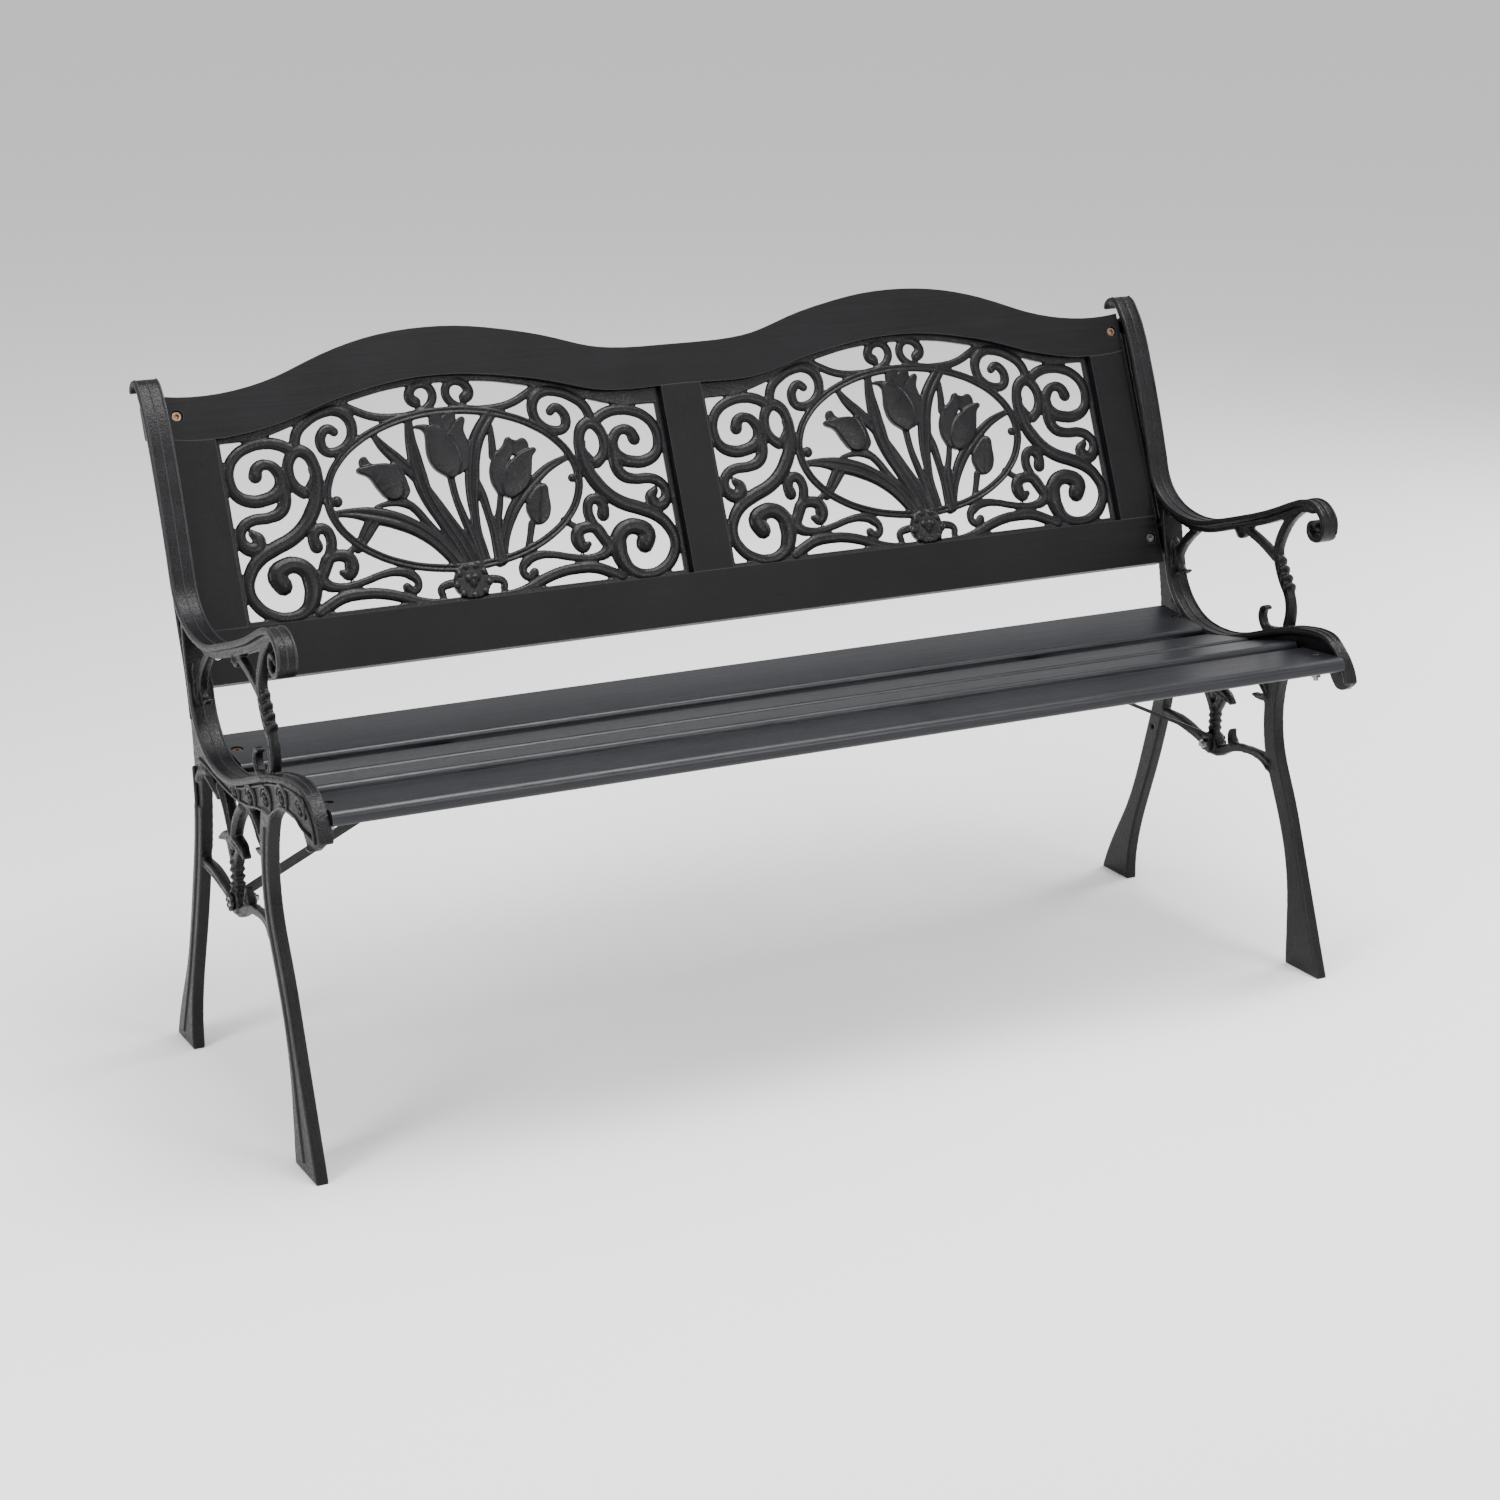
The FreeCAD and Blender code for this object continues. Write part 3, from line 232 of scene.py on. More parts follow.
def painted_timber(name, along, gloss, shine, paint):
    """Thin black paint over grain that runs along one axis."""
    look = new_look(name, paint[0], 0.4)
    tree, shader = start(look)
    shader.inputs["Specular IOR Level"].default_value = shine
    long_way = {"X": (0.025, 1, 1), "V": (1, 1, 0.04)}[along]
    streaks = placed_noise(tree, long_way, 330, 6, 0.7)
    pores = placed_noise(tree, tuple(4 * s for s in long_way), 420, 2)
    cloud = placed_noise(tree, (1, 1, 1), 9, 3)
    grain = ramp(tree, streaks, paint[0], paint[1], (0.35, 0.72))
    faded = ramp(tree, cloud, paint[0], paint[1])
    half = add(tree, "ShaderNodeValue")
    half.outputs[0].default_value = 0.35
    colour = mixed(tree, half.outputs[0], grain, faded)
    # A paler colour near the corners is a painted edge highlight.
    edge_highlight = mixed(tree, highlight_near_corners(tree), colour, (0.035, 0.035, 0.038))
    tree.links.new(edge_highlight, shader.inputs["Base Color"])
    tree.links.new(ramp(tree, streaks, gloss[0], gloss[1]), shader.inputs["Roughness"])
    bumped(tree, shader, [(streaks, 0.18), (pores, 0.12)])
    return look


BLACK = ((0.001, 0.001, 0.0014), (0.006, 0.006, 0.007))
BLUE_BLACK = ((0.003, 0.003, 0.0045), (0.011, 0.012, 0.016))
rail_timber = painted_timber("rail_timber", "X", (0.40, 0.60), 0.15, BLACK)
stile_timber = painted_timber("stile_timber", "V", (0.40, 0.60), 0.15, BLACK)
slat_timber = painted_timber("slat_timber", "X", (0.26, 0.46), 0.38, BLUE_BLACK)
print("timber", rail_timber.name, stile_timber.name, slat_timber.name)


# %% Painted steel and plated fasteners
def steel_paint():
    look = new_look("steel_paint", (0.008, 0.008, 0.009), 0.4)
    tree, shader = start(look)
    shader.inputs["Specular IOR Level"].default_value = 0.25
    fine = placed_noise(tree, (1, 1, 1), 450, 3)
    broad = placed_noise(tree, (1, 1, 1), 30, 4)
    tree.links.new(
        ramp(tree, broad, (0.005, 0.005, 0.006), (0.013, 0.013, 0.014)),
        shader.inputs["Base Color"])
    tree.links.new(ramp(tree, fine, 0.30, 0.52), shader.inputs["Roughness"])
    bumped(tree, shader, [(fine, 0.08)])
    return look


def plated(name, coppery, axis, beyond):
    """Plating: brownish where a coordinate passes a place, silvery elsewhere."""
    look = new_look(name, (0.5, 0.5, 0.5), 0.35)
    tree, shader = start(look)
    where = add(tree, "ShaderNodeTexCoord")
    split = add(tree, "ShaderNodeSeparateXYZ")
    tree.links.new(where.outputs["Object"], split.inputs[0])
    passed = add(tree, "ShaderNodeMath", operation="GREATER_THAN")
    tree.links.new(split.outputs[axis], passed.inputs[0])
    passed.inputs[1].default_value = beyond
    stain = placed_noise(tree, (1, 1, 1), 260, 4)
    silver = ramp(tree, stain, (0.16, 0.155, 0.15), (0.34, 0.33, 0.32))
    copper = ramp(tree, stain, coppery[0], coppery[1])
    tree.links.new(mixed(tree, passed.outputs[0], silver, copper), shader.inputs["Base Color"])
    shader.inputs["Metallic"].default_value = 1.0
    tree.links.new(ramp(tree, stain, 0.28, 0.50), shader.inputs["Roughness"])
    bumped(tree, shader, [(stain, 0.05)])
    return look


COPPER = ((0.13, 0.08, 0.055), (0.32, 0.21, 0.145))
bar_paint = steel_paint()
slat_plating = plated("slat_plating", COPPER, "Y", 0.0)
back_plating = plated("back_plating", COPPER, "Z", 0.6)
plain_plating = plated("plain_plating", COPPER, "Z", 9.0)

# %% Finishes on the pieces that keep their shape
KEPT = {
    "back_top_rail": rail_timber, "back_bottom_rail": rail_timber,
    "back_stile_left": stile_timber, "back_stile_centre": stile_timber,
    "back_stile_right": stile_timber, "seat_slat_rear": slat_timber,
    "seat_slat_middle_rear": slat_timber, "seat_slat_middle_front": slat_timber,
    "seat_slat_front": slat_timber, "seat_strap_right": bar_paint,
    "seat_strap_left": bar_paint, "brace_right": bar_paint, "brace_left": bar_paint,
    "slat_bolts": slat_plating, "slat_washers": plain_plating,
    "slat_nuts": plain_plating, "back_bolts": back_plating,
    "back_washers": plain_plating, "back_nuts": plain_plating,
    "brace_bolts": plain_plating, "brace_nuts": plain_plating,
    "strap_rivets": plain_plating, "strap_screws": plain_plating,
    "ledge_screws": plain_plating,
}
for node, look in KEPT.items():
    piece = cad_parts[node]
    piece.data.materials.clear()
    piece.data.materials.append(look)
print("pieces with a new finish", len(KEPT))

# %% [markdown]
# ## Drawing a casting
# A foundry pattern for scrollwork is carved from tapering half-round bands.
# Here a band is a smooth path whose thickness changes from point to point. The
# paths are turned into mesh, pressed flatter than they are wide, joined, and
# then melted together by a voxel remesh, which leaves the same soft corners
# that a casting has.

# %% Helpers for the bands
RIDGE_SPREAD = 0.96       # distance between two ridges, as a share of half the band


def rounded(stroke):
    """The stroke (a, b, half width) with a small dome added at both ends."""
    first, second = stroke[0], stroke[1]
    last, before = stroke[-1], stroke[-2]
    head, tail = [], []
    for reach, narrow in ((0.93, 0.34), (0.55, 0.83)):
        head.append(step_out(first, second, reach, narrow))
        tail.insert(0, step_out(last, before, reach, narrow))
    return head + list(stroke) + tail


def step_out(end, inside, reach, narrow):
    """A point past the end of a stroke, by a share of its half width."""
    run, rise = end[0] - inside[0], end[1] - inside[1]
    step = end[2] * reach / math.hypot(run, rise)
    return (end[0] + run * step, end[1] + rise * step, end[2] * narrow)


def ridges(stroke, width):
    """A band split into two ridges side by side, with a crease between them."""
    result = []
    for side in (-0.5, 0.5):
        line = []
        for i, (a, b, half) in enumerate(stroke):
            before = stroke[max(i - 1, 0)]
            after = stroke[min(i + 1, len(stroke) - 1)]
            run, rise = after[0] - before[0], after[1] - before[1]
            length = math.hypot(run, rise)
            offset = half * side * RIDGE_SPREAD
            line.append((a - rise / length * offset, b + run / length * offset, half * width))
        result.append(line)
    return result


def activate(piece):
    bpy.ops.object.select_all(action="DESELECT")
    piece.select_set(True)
    bpy.context.view_layer.objects.active = piece


def bands(name, strokes, press, lift=0.0, closed=False, sides=3):
    """Tapered bands as one mesh, lying flat, pressed to a share of their width.

    The lift is a height, or a function that gives the height at (a, b).
    """
    bpy.ops.object.select_all(action="DESELECT")
    bpy.ops.curve.primitive_bezier_curve_add()
    path = bpy.context.object
    path.name = name
    path.data.splines.clear()
    path.data.dimensions = "3D"
    path.data.bevel_depth = MM
    path.data.bevel_resolution = sides
    path.data.resolution_u = 4
    path.data.use_fill_caps = True
    for stroke in strokes:
        knots = stroke if closed else rounded(stroke)
        line = path.data.splines.new("BEZIER")
        line.use_cyclic_u = closed
        line.bezier_points.add(len(knots) - 1)
        for knot, (a, b, half) in zip(line.bezier_points, knots):
            height = lift(a, b) if callable(lift) else lift
            knot.co = (a * MM, b * MM, height / press * MM)
            knot.radius = half
            knot.handle_left_type = knot.handle_right_type = "AUTO"
    bpy.ops.object.convert(target="MESH")
    piece = bpy.context.object
    piece.data.transform(Matrix.Scale(press, 4, (0, 0, 1)))
    return piece


def plate(name, outlines, low, high, soft=0.6, sharp=()):
    """A flat plate between two levels; a second outline is a hole in it."""
    bpy.ops.object.select_all(action="DESELECT")
    bpy.ops.curve.primitive_bezier_curve_add()
    sheet = bpy.context.object
    sheet.name = name
    data = sheet.data
    data.splines.clear()
    data.dimensions = "2D"
    data.fill_mode = "BOTH"
    data.extrude = ((high - low) / 2 - soft) * MM
    data.bevel_depth = soft * MM
    data.bevel_resolution = 2
    data.offset = -soft * MM
    data.resolution_u = 5
    for outline in outlines:
        line = data.splines.new("BEZIER")
        line.use_cyclic_u = True
        line.bezier_points.add(len(outline) - 1)
        for knot, (a, b) in zip(line.bezier_points, outline):
            knot.co = (a * MM, b * MM, 0)
            kind = "VECTOR" if (a, b) in sharp else "AUTO"
            knot.handle_left_type = knot.handle_right_type = kind
    bpy.ops.object.convert(target="MESH")
    piece = bpy.context.object
    piece.data.transform(Matrix.Translation((0, 0, (low + high) / 2 * MM)))
    return piece


def beads(name, spots, press, lift=0.0):
    """Small domes: (a, b, radius), pressed like the bands."""
    made = []
    for a, b, radius in spots:
        bpy.ops.object.select_all(action="DESELECT")
        bpy.ops.mesh.primitive_uv_sphere_add(segments=20, ring_count=12, radius=radius * MM)
        dome = bpy.context.object
        dome.data.transform(Matrix.Translation((a * MM, b * MM, lift * MM))
                            @ Matrix.Scale(press, 4, (0, 0, 1)))
        made.append(dome)
    return joined(name, made)


def joined(name, pieces):
    """Several meshes made into one."""
    bpy.ops.object.select_all(action="DESELECT")
    for piece in pieces:
        piece.select_set(True)
    bpy.context.view_layer.objects.active = pieces[0]
    if len(pieces) > 1:
        bpy.ops.object.join()
    whole = bpy.context.object
    whole.name = name
    whole.data.name = name
    return whole


def melted(piece, voxel, soften, most):
    """Overlapping shapes melted into one skin, softened, and thinned."""
    activate(piece)
    melt = piece.modifiers.new("melt", "REMESH")
    melt.mode = "VOXEL"
    melt.voxel_size = voxel * MM
    bpy.ops.object.modifier_apply(modifier="melt")
    smooth = piece.modifiers.new("soften", "SMOOTH")
    smooth.factor = 0.5
    smooth.iterations = soften
    bpy.ops.object.modifier_apply(modifier="soften")
    triangles = 2 * len(piece.data.polygons)
    if triangles > most:
        thin = piece.modifiers.new("thin", "DECIMATE")
        thin.ratio = most / triangles
        bpy.ops.object.modifier_apply(modifier="thin")
    bpy.ops.object.shade_smooth()
    kept = sum(len(face.vertices) - 2 for face in piece.data.polygons)
    print(piece.name, "triangles", triangles, "->", kept)
    return piece


def dressed(piece, look, slot, *nodes):
    """Material, body and the model nodes that the piece stands for."""
    piece.data.materials.clear()
    piece.data.materials.append(look)
    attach(piece, "root")
    if nodes:
        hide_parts(*nodes)


# %% [markdown]
# ## The two flower panels
# Each panel is one openwork casting let into grooves in the timber: scrolls on
# both sides, an oval ring with a groove along it, and tulips tied at the foot by
# a small scalloped shield. Seen close, the scrolls are half round and swell to
# their ends, the long leaves have a crease down the middle, and the petals
# overlap. So the scrolls are drawn as single bands, the leaves as two ridges
# side by side, and the petals as soft-edged plates at different heights.
# Sizes are in mm: across from the middle of the panel, then up the back.

# %% Scrolls of the left half
SCROLLS = [
    [(-212.5, 66, 11), (-217.5, 78, 11), (-207.5, 86, 10), (-195.5, 87, 9.5),
     (-184.5, 80, 10), (-180, 67, 11), (-182.3, 50, 10), (-191.5, 37, 8),
     (-209.5, 31, 7), (-230.5, 36, 7), (-245.5, 50, 7), (-250.5, 66, 7),
     (-245.5, 83, 7.5), (-234.5, 96, 8), (-216.5, 106, 8.5), (-194.5, 115, 8.5),
     (-179.2, 126, 8.5), (-166.3, 142, 9), (-158, 160, 8), (-155, 178, 7.5),
     (-156, 193, 7), (-162, 205, 7.5), (-172, 209, 7.5), (-181, 202, 7),
     (-185.3, 187, 6.5), (-181.5, 172, 7), (-172, 163, 7)],
    [(-165, 168, 5), (-158, 180, 5), (-160.5, 188, 3)],
    [(-222.5, 186, 8), (-218.5, 195, 7), (-207.5, 197.5, 6), (-198, 190, 7),
     (-194.5, 178, 8), (-201.5, 166, 8), (-216.5, 160, 7.5), (-232.5, 160, 7.5),
     (-246.5, 168, 7), (-251.5, 182, 6.5), (-249.5, 198, 6.5), (-240.5, 210, 6.5),
     (-226.5, 217.5, 6.5), (-208.5, 220.5, 6.5), (-192, 218, 7), (-179, 211, 7)],
    [(-195.5, 174, 8), (-194.5, 158, 8), (-200.5, 146, 7.5), (-214.5, 140.5, 6.5),
     (-232.5, 139.5, 6.5), (-244.5, 134, 6.5), (-250, 123, 6.5), (-245.5, 111, 8),
     (-234.5, 109, 8.5), (-230.5, 118, 8), (-236, 125, 5)],
    [(-127, 226, 5.5), (-133, 230, 5.5), (-141, 225, 6), (-144, 214, 6.5),
     (-139, 205, 6), (-127, 204.5, 5.5), (-114, 211, 6), (-106.5, 224, 6.5),
     (-109, 240, 7), (-121, 249, 7), (-138, 248, 6.5), (-156, 240, 6.5),
     (-168.5, 229, 6.5), (-174, 214, 6.5)],
    [(-114, 256, 4), (-98, 246, 5), (-80, 238.5, 5), (-58, 235.5, 5),
     (-38, 236, 5), (-20, 241, 5), (-9.5, 250, 5.5), (-8, 260, 5.5),
     (-14, 268, 5), (-24, 269.5, 5.5), (-33, 263, 6), (-34, 254, 7), (-29, 250, 7)],
    [(-168.5, 104, 8), (-170, 114, 7), (-164.7, 122, 6.5), (-156.3, 122, 6.5),
     (-151, 112, 6.5), (-152.5, 100, 6.5), (-157.9, 88, 7), (-164, 78, 7.5),
     (-168.5, 68, 8), (-163, 61, 7), (-154, 58, 5.5), (-140, 57.5, 4.5),
     (-120, 61, 4.5), (-100, 66, 4.5), (-82, 67, 5.5), (-68, 62, 6.5),
     (-61.5, 52, 5), (-67, 44, 4.5), (-75, 49, 5.5)],
    [(-164, 80, 7), (-157, 90, 7.5), (-145, 92, 7), (-135, 88, 8), (-133, 78, 9),
     (-138, 70, 7), (-145, 73, 4)],
    [(-178, 32, 7), (-163, 40, 7), (-148, 46, 7), (-128, 47.5, 6.5),
     (-108, 46, 6.5), (-88, 41, 6.5), (-70, 34, 6), (-52, 29.5, 5), (-36, 28, 4)],
    [(-14, 47, 5), (-29, 46.5, 5), (-37, 42, 4.5), (-36, 35, 4.5)],
    [(-120, 103, 4), (-130, 96, 4), (-138, 91, 4)],
]

# %% Leaves and stems
LEAVES = [
    [(-145, 137, 3), (-123, 136, 5.5), (-100, 131, 9), (-70, 121, 9.5),
     (-43, 104, 8), (-23, 83, 7), (-11, 64, 6)],
    [(-101, 124, 8), (-112, 110, 7), (-123, 95, 4)],
    [(-94, 140, 2), (-80, 142, 3.5), (-66, 141, 4), (-53, 136, 4.5)],
    [(-66, 146, 4), (-53, 136, 5), (-36, 112, 5), (-20, 90, 5), (-6, 66, 5)],
    [(-84, 219, 3), (-76, 206, 5.5), (-62, 190, 7), (-46, 172, 6.5),
     (-32, 150, 6), (-14, 118, 6), (2, 88, 6), (10, 64, 5)],
    [(-40, 234, 4), (-42, 212, 6), (-41, 190, 8), (-39, 168, 9), (-34, 145, 8),
     (-22, 118, 7), (-8, 90, 7), (2, 64, 6)],
    [(-3, 165, 4.5), (-1, 140, 4.5), (4, 118, 5), (10, 92, 5), (15, 64, 5)],
    [(55, 229, 7), (42, 214, 8), (32, 198, 8.5), (26, 180, 8), (21.5, 160, 8.5),
     (18, 140, 7), (17, 120, 5.5), (17, 100, 5), (20, 80, 5), (22, 64, 5)],
    [(25, 158, 5), (30, 140, 5.5), (33, 120, 5), (36, 98, 5.5), (36, 80, 5.5), (36, 64, 5.5)],
    [(53, 215, 3.5), (52, 198, 4.5), (50, 182, 5)],
    [(52, 142, 3.5), (48, 126, 4), (43, 110, 4.5), (42, 92, 5), (42, 66, 5)],
    [(142, 174, 3), (116, 165, 5), (96, 152, 6), (72, 131, 7), (60, 116, 7),
     (49, 94, 5.5), (42, 72, 5), (39, 64, 5)],
    [(82, 103, 4.5), (77, 88, 4), (71, 72, 4)],
]

# %% Frame, ring and shield of a panel
def across(left):
    """A line that runs on to the right as the mirror image of its left half."""
    return left + [(-point[0], *point[1:]) for point in reversed(left) if point[0]]


PANEL_TOP = across([
    (-266.5, 246), (-212, 246), (-200, 247), (-172, 252), (-132, 262),
    (-92, 272), (-52, 279), (0, 282),
])
RIM_TOP = across([
    (-255.5, 224), (-212, 226), (-172, 236.5), (-132, 250), (-92, 260),
    (-52, 267), (0, 269.5),
])
RIM_FLOOR = 31.5
PANEL_FLOOR = 21.5
RING_CENTRE = (0.0, 150.5)
RING_LONG = 147.0
RING_SHORT = 87.0
SHIELD = across([(-10, 30), (-20, 40), (-20, 52), (-12, 64), (0, 66)]) + [(0, 27.5)]
SHIELD_RIM = across([(-13, 34, 3.6), (-19.5, 44, 4.0), (-15, 56, 3.8), (-6, 63, 3.4)]) + [(0, 30.5, 3.8)]
SHIELD_HEART = [(-4.2, 50, 4.4), (4.2, 50, 4.4), (0, 44.5, 4.4), (0, 40.5, 2.6)]
KNOBS = [(-137, 150, 6.5), (139, 149, 5.0)]

# %% Petals, from the back ones to the front ones
# Each is (height of its face over the middle of the panel, outline)
PETALS = [
    # middle tulip
    (3.2, [(-15, 217), (-17, 226), (-15, 234), (-9, 237), (-3, 234), (-2, 228), (-7, 220)]),
    (3.6, [(-9, 218), (-4, 228), (4, 235), (11, 236), (14, 229), (8, 221), (0, 213)]),
    (3.0, [(-21, 212), (-28, 219), (-35, 223), (-28, 225), (-18, 223), (-14, 216)]),
    (3.4, [(2, 166), (16, 171), (24, 183), (24, 200), (21, 214), (23, 229),
           (14, 226), (5, 216), (-2, 210), (0, 190)]),
    (5.0, [(0, 162.5), (-13, 168), (-22, 177), (-26, 190), (-25, 206), (-21, 222.5),
           (-12, 221), (-2, 213), (6, 202), (10.5, 188), (9.5, 174)]),
    # right tulip
    (3.0, [(74, 181), (69, 190), (73, 199), (80, 197.5), (88, 199.5), (93, 195), (93, 187), (84, 183)]),
    (3.6, [(54, 137), (45, 147), (42.5, 160), (45.5, 174), (53, 185), (63, 193),
           (71.5, 202), (75, 193), (74, 184), (64, 172), (56, 158)]),
    (5.0, [(58, 134.5), (53, 144), (56, 158), (64, 171), (75, 179), (88, 185),
           (101, 185.5), (95.5, 177), (92.5, 165), (88, 151), (74, 138)]),
    # left tulip
    (3.0, [(-100, 180), (-105, 190), (-98.5, 196), (-92, 188), (-80, 182), (-90, 176)]),
    (3.6, [(-64, 145), (-54, 150), (-54, 163), (-58, 175), (-68, 186), (-74, 182), (-66, 165)]),
    (5.0, [(-79, 146.5), (-89, 158), (-97, 172), (-109.5, 182), (-100, 184.5),
           (-84, 186.5), (-70, 184), (-62.5, 172), (-60, 158), (-65, 147)]),
    # bud
    (3.6, [(88, 101), (80, 112), (79, 124), (86, 135), (98, 145), (105, 146),
           (107, 130), (105, 112), (97, 103)]),
    (4.6, [(91, 101.5), (92, 114), (96, 130), (104, 145), (107, 130), (105, 112), (98, 103)]),
]

# %% [markdown]
# The relief is deepest on the fat ends of the scrolls and shallow on the stems,
# as it would be if one knife had cut the pattern. That is why each kind of band
# has its own press: the share of its width that it stands up.

# %% Build one panel lying flat
BACK_FWD = -117.0         # where the lower edge of the back's face is
BACK_Z = 457.0
BACK_RAKE = math.radians(23.2)
PANEL_DEEP = 11.0         # middle of the casting behind the face of the timber
WINDOW_MID = 287.0        # middle of a window from the middle of the bench
RING_BEAD = 2.4           # the ring is two beads, each this far from its middle
FAT_END = 6.5             # a scroll whose end is wider than this has a dome on it
WIDE_LEAF = 6.0           # a leaf wider than this has a crease
PANEL_VOXEL = 1.0
PIECE_TRIANGLES = 190000


def mirrored_stroke(stroke):
    return [(-a, b, half) for a, b, half in stroke]


def oval(grow, half):
    """An oval path around the flowers, wider than the ring's middle by grow."""
    path = []
    for index in range(24):
        angle = index * math.pi / 12
        path.append((RING_CENTRE[0] + (RING_LONG + grow) * math.cos(angle),
                     RING_CENTRE[1] + (RING_SHORT + grow) * math.sin(angle), half))
    return path


def panel_parts():
    """Every band, plate and bead of a panel."""
    scrolls = SCROLLS + [mirrored_stroke(stroke) for stroke in SCROLLS]
    made = [bands("scrolls", scrolls, 0.54)]
    ends = [stroke[0] for stroke in scrolls if stroke[0][2] > FAT_END]
    made.append(beads("scroll_ends", [(a, b, half * 0.78) for a, b, half in ends], 0.72))
    ring = [oval(RING_BEAD, 2.3), oval(-RING_BEAD, 2.3)]
    made.append(bands("ring", ring, 1.5, closed=True))
    wide = [stroke for stroke in LEAVES if max(half for a, b, half in stroke) > WIDE_LEAF]
    narrow = [stroke for stroke in LEAVES if stroke not in wide]
    creased = []
    for stroke in wide:
        creased += ridges(stroke, 0.58)
    made.append(bands("leaf_ridges", creased, 0.85))
    made.append(bands("leaf_backs", LEAVES, 0.42, lift=-1.0))
    made.append(bands("stems", narrow, 0.62))
    top = PANEL_TOP + [(PANEL_TOP[-1][0], PANEL_FLOOR), (PANEL_TOP[0][0], PANEL_FLOOR)]
    hole = RIM_TOP + [(RIM_TOP[-1][0], RIM_FLOOR), (RIM_TOP[0][0], RIM_FLOOR)]
    corners = {top[0], top[-1], top[-2], top[-3], hole[0], hole[-1], hole[-2], hole[-3]}
    made.append(plate("rim", [top, hole], -4.0, 2.6, 0.8, corners))
    made.append(plate("shield", [SHIELD], -4.0, 4.2, 1.2))
    for index, (height, outline) in enumerate(PETALS):
        made.append(plate("petal_%d" % index, [outline], -3.6, height, 1.5))
    made.append(beads("knobs", KNOBS, 0.6))
    return made


def shield_lobes():
    """The scalloped edge and the heart in the middle of the shield."""
    return beads("shield_lobes", SHIELD_RIM + SHIELD_HEART, 0.55, lift=3.6)


def back_place(sign):
    """From a flat drawing board to the leaning back of the bench."""
    lean = Matrix((
        (1, 0, 0),
        (0, math.sin(BACK_RAKE), -math.cos(BACK_RAKE)),
        (0, math.cos(BACK_RAKE), math.sin(BACK_RAKE)),
    )).to_4x4()
    foot = Vector((sign * WINDOW_MID, DATUM_Y - BACK_FWD, BACK_Z)) * MM
    inward = Vector((0, math.cos(BACK_RAKE), -math.sin(BACK_RAKE))) * PANEL_DEEP * MM
    return Matrix.Translation(foot + inward) @ lean


flat_panel = joined("panel_pattern", panel_parts() + [shield_lobes()])
melted(flat_panel, PANEL_VOXEL, 1, PIECE_TRIANGLES)

# %% Cast two panels from the pattern
for name, sign in (("panel_left", -1), ("panel_right", 1)):
    casting = flat_panel.copy()
    casting.data = flat_panel.data.copy()
    casting.name = name + "_casting"
    bpy.context.scene.collection.objects.link(casting)
    casting.data.transform(back_place(sign))
    dressed(casting, panel_paint, "cast_panel", name)
bpy.data.objects.remove(flat_panel)
print("panels set in the back")

# %% [markdown]
# ## The two cast ends
# An end is a flat openwork web with a broad strip along its front edges: down
# the post, over the arm into a rolled hand rest, and along the seat rail. The
# web bars are carved: paired ridges on the arm support and the stretcher, a
# twisted rope half way up the support, a threaded column with a leafy knot
# under the seat, a rosette on the hub and crescents along the rail. The plain
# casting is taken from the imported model, which already has the right outline
# and every bolt hole. The carving is laid over it and melted into it.
# Sizes are in mm: forward from the middle of the feet, then up from the ground.

# %% Lines of the strips
ARM_STRIP = [
    (-253, 716), (-249, 723), (-240, 726.5), (-231, 723), (-223, 715),
    (-210, 698), (-187, 650), (-167, 600), (-149.5, 550), (-140.5, 525),
    (-127, 508), (-109, 496.5), (-91, 490.5), (-70, 487.5), (-50, 487.5),
    (-29, 490.5), (1, 499), (38, 510), (78, 523), (106, 534), (131, 545),
    (150, 551.5), (164, 552.5), (178, 547), (187, 536), (187, 523),
    (179, 514.5), (168, 515), (162, 523), (165, 531), (172, 531),
]
RAIL_STRIP = [
    (-114, 494), (-110, 465), (-103, 435), (-97, 412), (-86, 393), (-69, 377),
    (-48, 366), (-26, 361.5), (-6, 360.7), (14, 362), (34, 366), (54, 372),
    (74, 378.8), (94, 385.8), (114, 392.5), (134, 398.5), (154, 403),
    (174, 406.5), (194, 408.3), (212, 406.5), (227, 400), (239.5, 389.5),
    (248, 378), (252.5, 367),
]

# %% Bars, curls and leaves of the web
ARM_SUPPORT = [
    (152, 547, 3.7), (138, 539, 4.3), (121, 525, 5), (108, 505, 5.3),
    (102, 484, 5.3), (108, 467, 5.9), (117, 452, 6.2), (127, 437, 5.6),
    (131, 420, 5.9), (128, 402, 6.2),
]
SUPPORT_FOOT = [(118, 395, 4), (104, 391, 4), (91, 390, 4)]
SUPPORT_HOOK = [(92, 388, 4), (82, 394, 4), (78, 404, 4), (81, 412, 3.6), (87, 414, 2.4)]
ARM_STRUT = [(33, 499, 4.2), (62, 492, 4.5), (98, 477, 4.9)]
POST_CURL = [
    (-50, 484, 4.9), (-62, 474, 4.9), (-76, 462, 4.9), (-87, 449, 4.9), (-93, 436, 4.9),
    (-91, 425, 4.2), (-83, 420, 3.1), (-73, 423, 1.8),
]
CURL_TIE = [(-104, 452, 4), (-96, 440, 4.8), (-96, 425, 4.8), (-100, 410, 4.8)]
REAR_STRETCHER = [
    (-114, 236, 5), (-95, 235.5, 5.9), (-75, 234.5, 6.2), (-55, 231, 5.9),
    (-35, 226, 5.3), (-18, 221, 5.6), (-5, 218, 6.8),
]
FRONT_STRETCHER = [
    (-5, 218, 6.8), (10, 219, 6.2), (27, 227, 5.3), (46, 233, 4.7),
    (70, 235.2, 4.3), (92, 234.5, 5.6), (110, 229, 8.1),
]
SPIKE_LEAF = [(33, 236, 5.6), (30, 245, 3.8), (31, 250, 2.4)]
KNOT_LEAF = [(-50, 281, 1.5), (-35, 288, 4.5), (-15, 293, 6), (5, 292, 6), (20, 288, 5.2), (28, 283, 2.2)]
KNOT_LEFT = [(-6, 266, 5.6), (-14, 277, 4.9), (-24, 289, 4.2)]
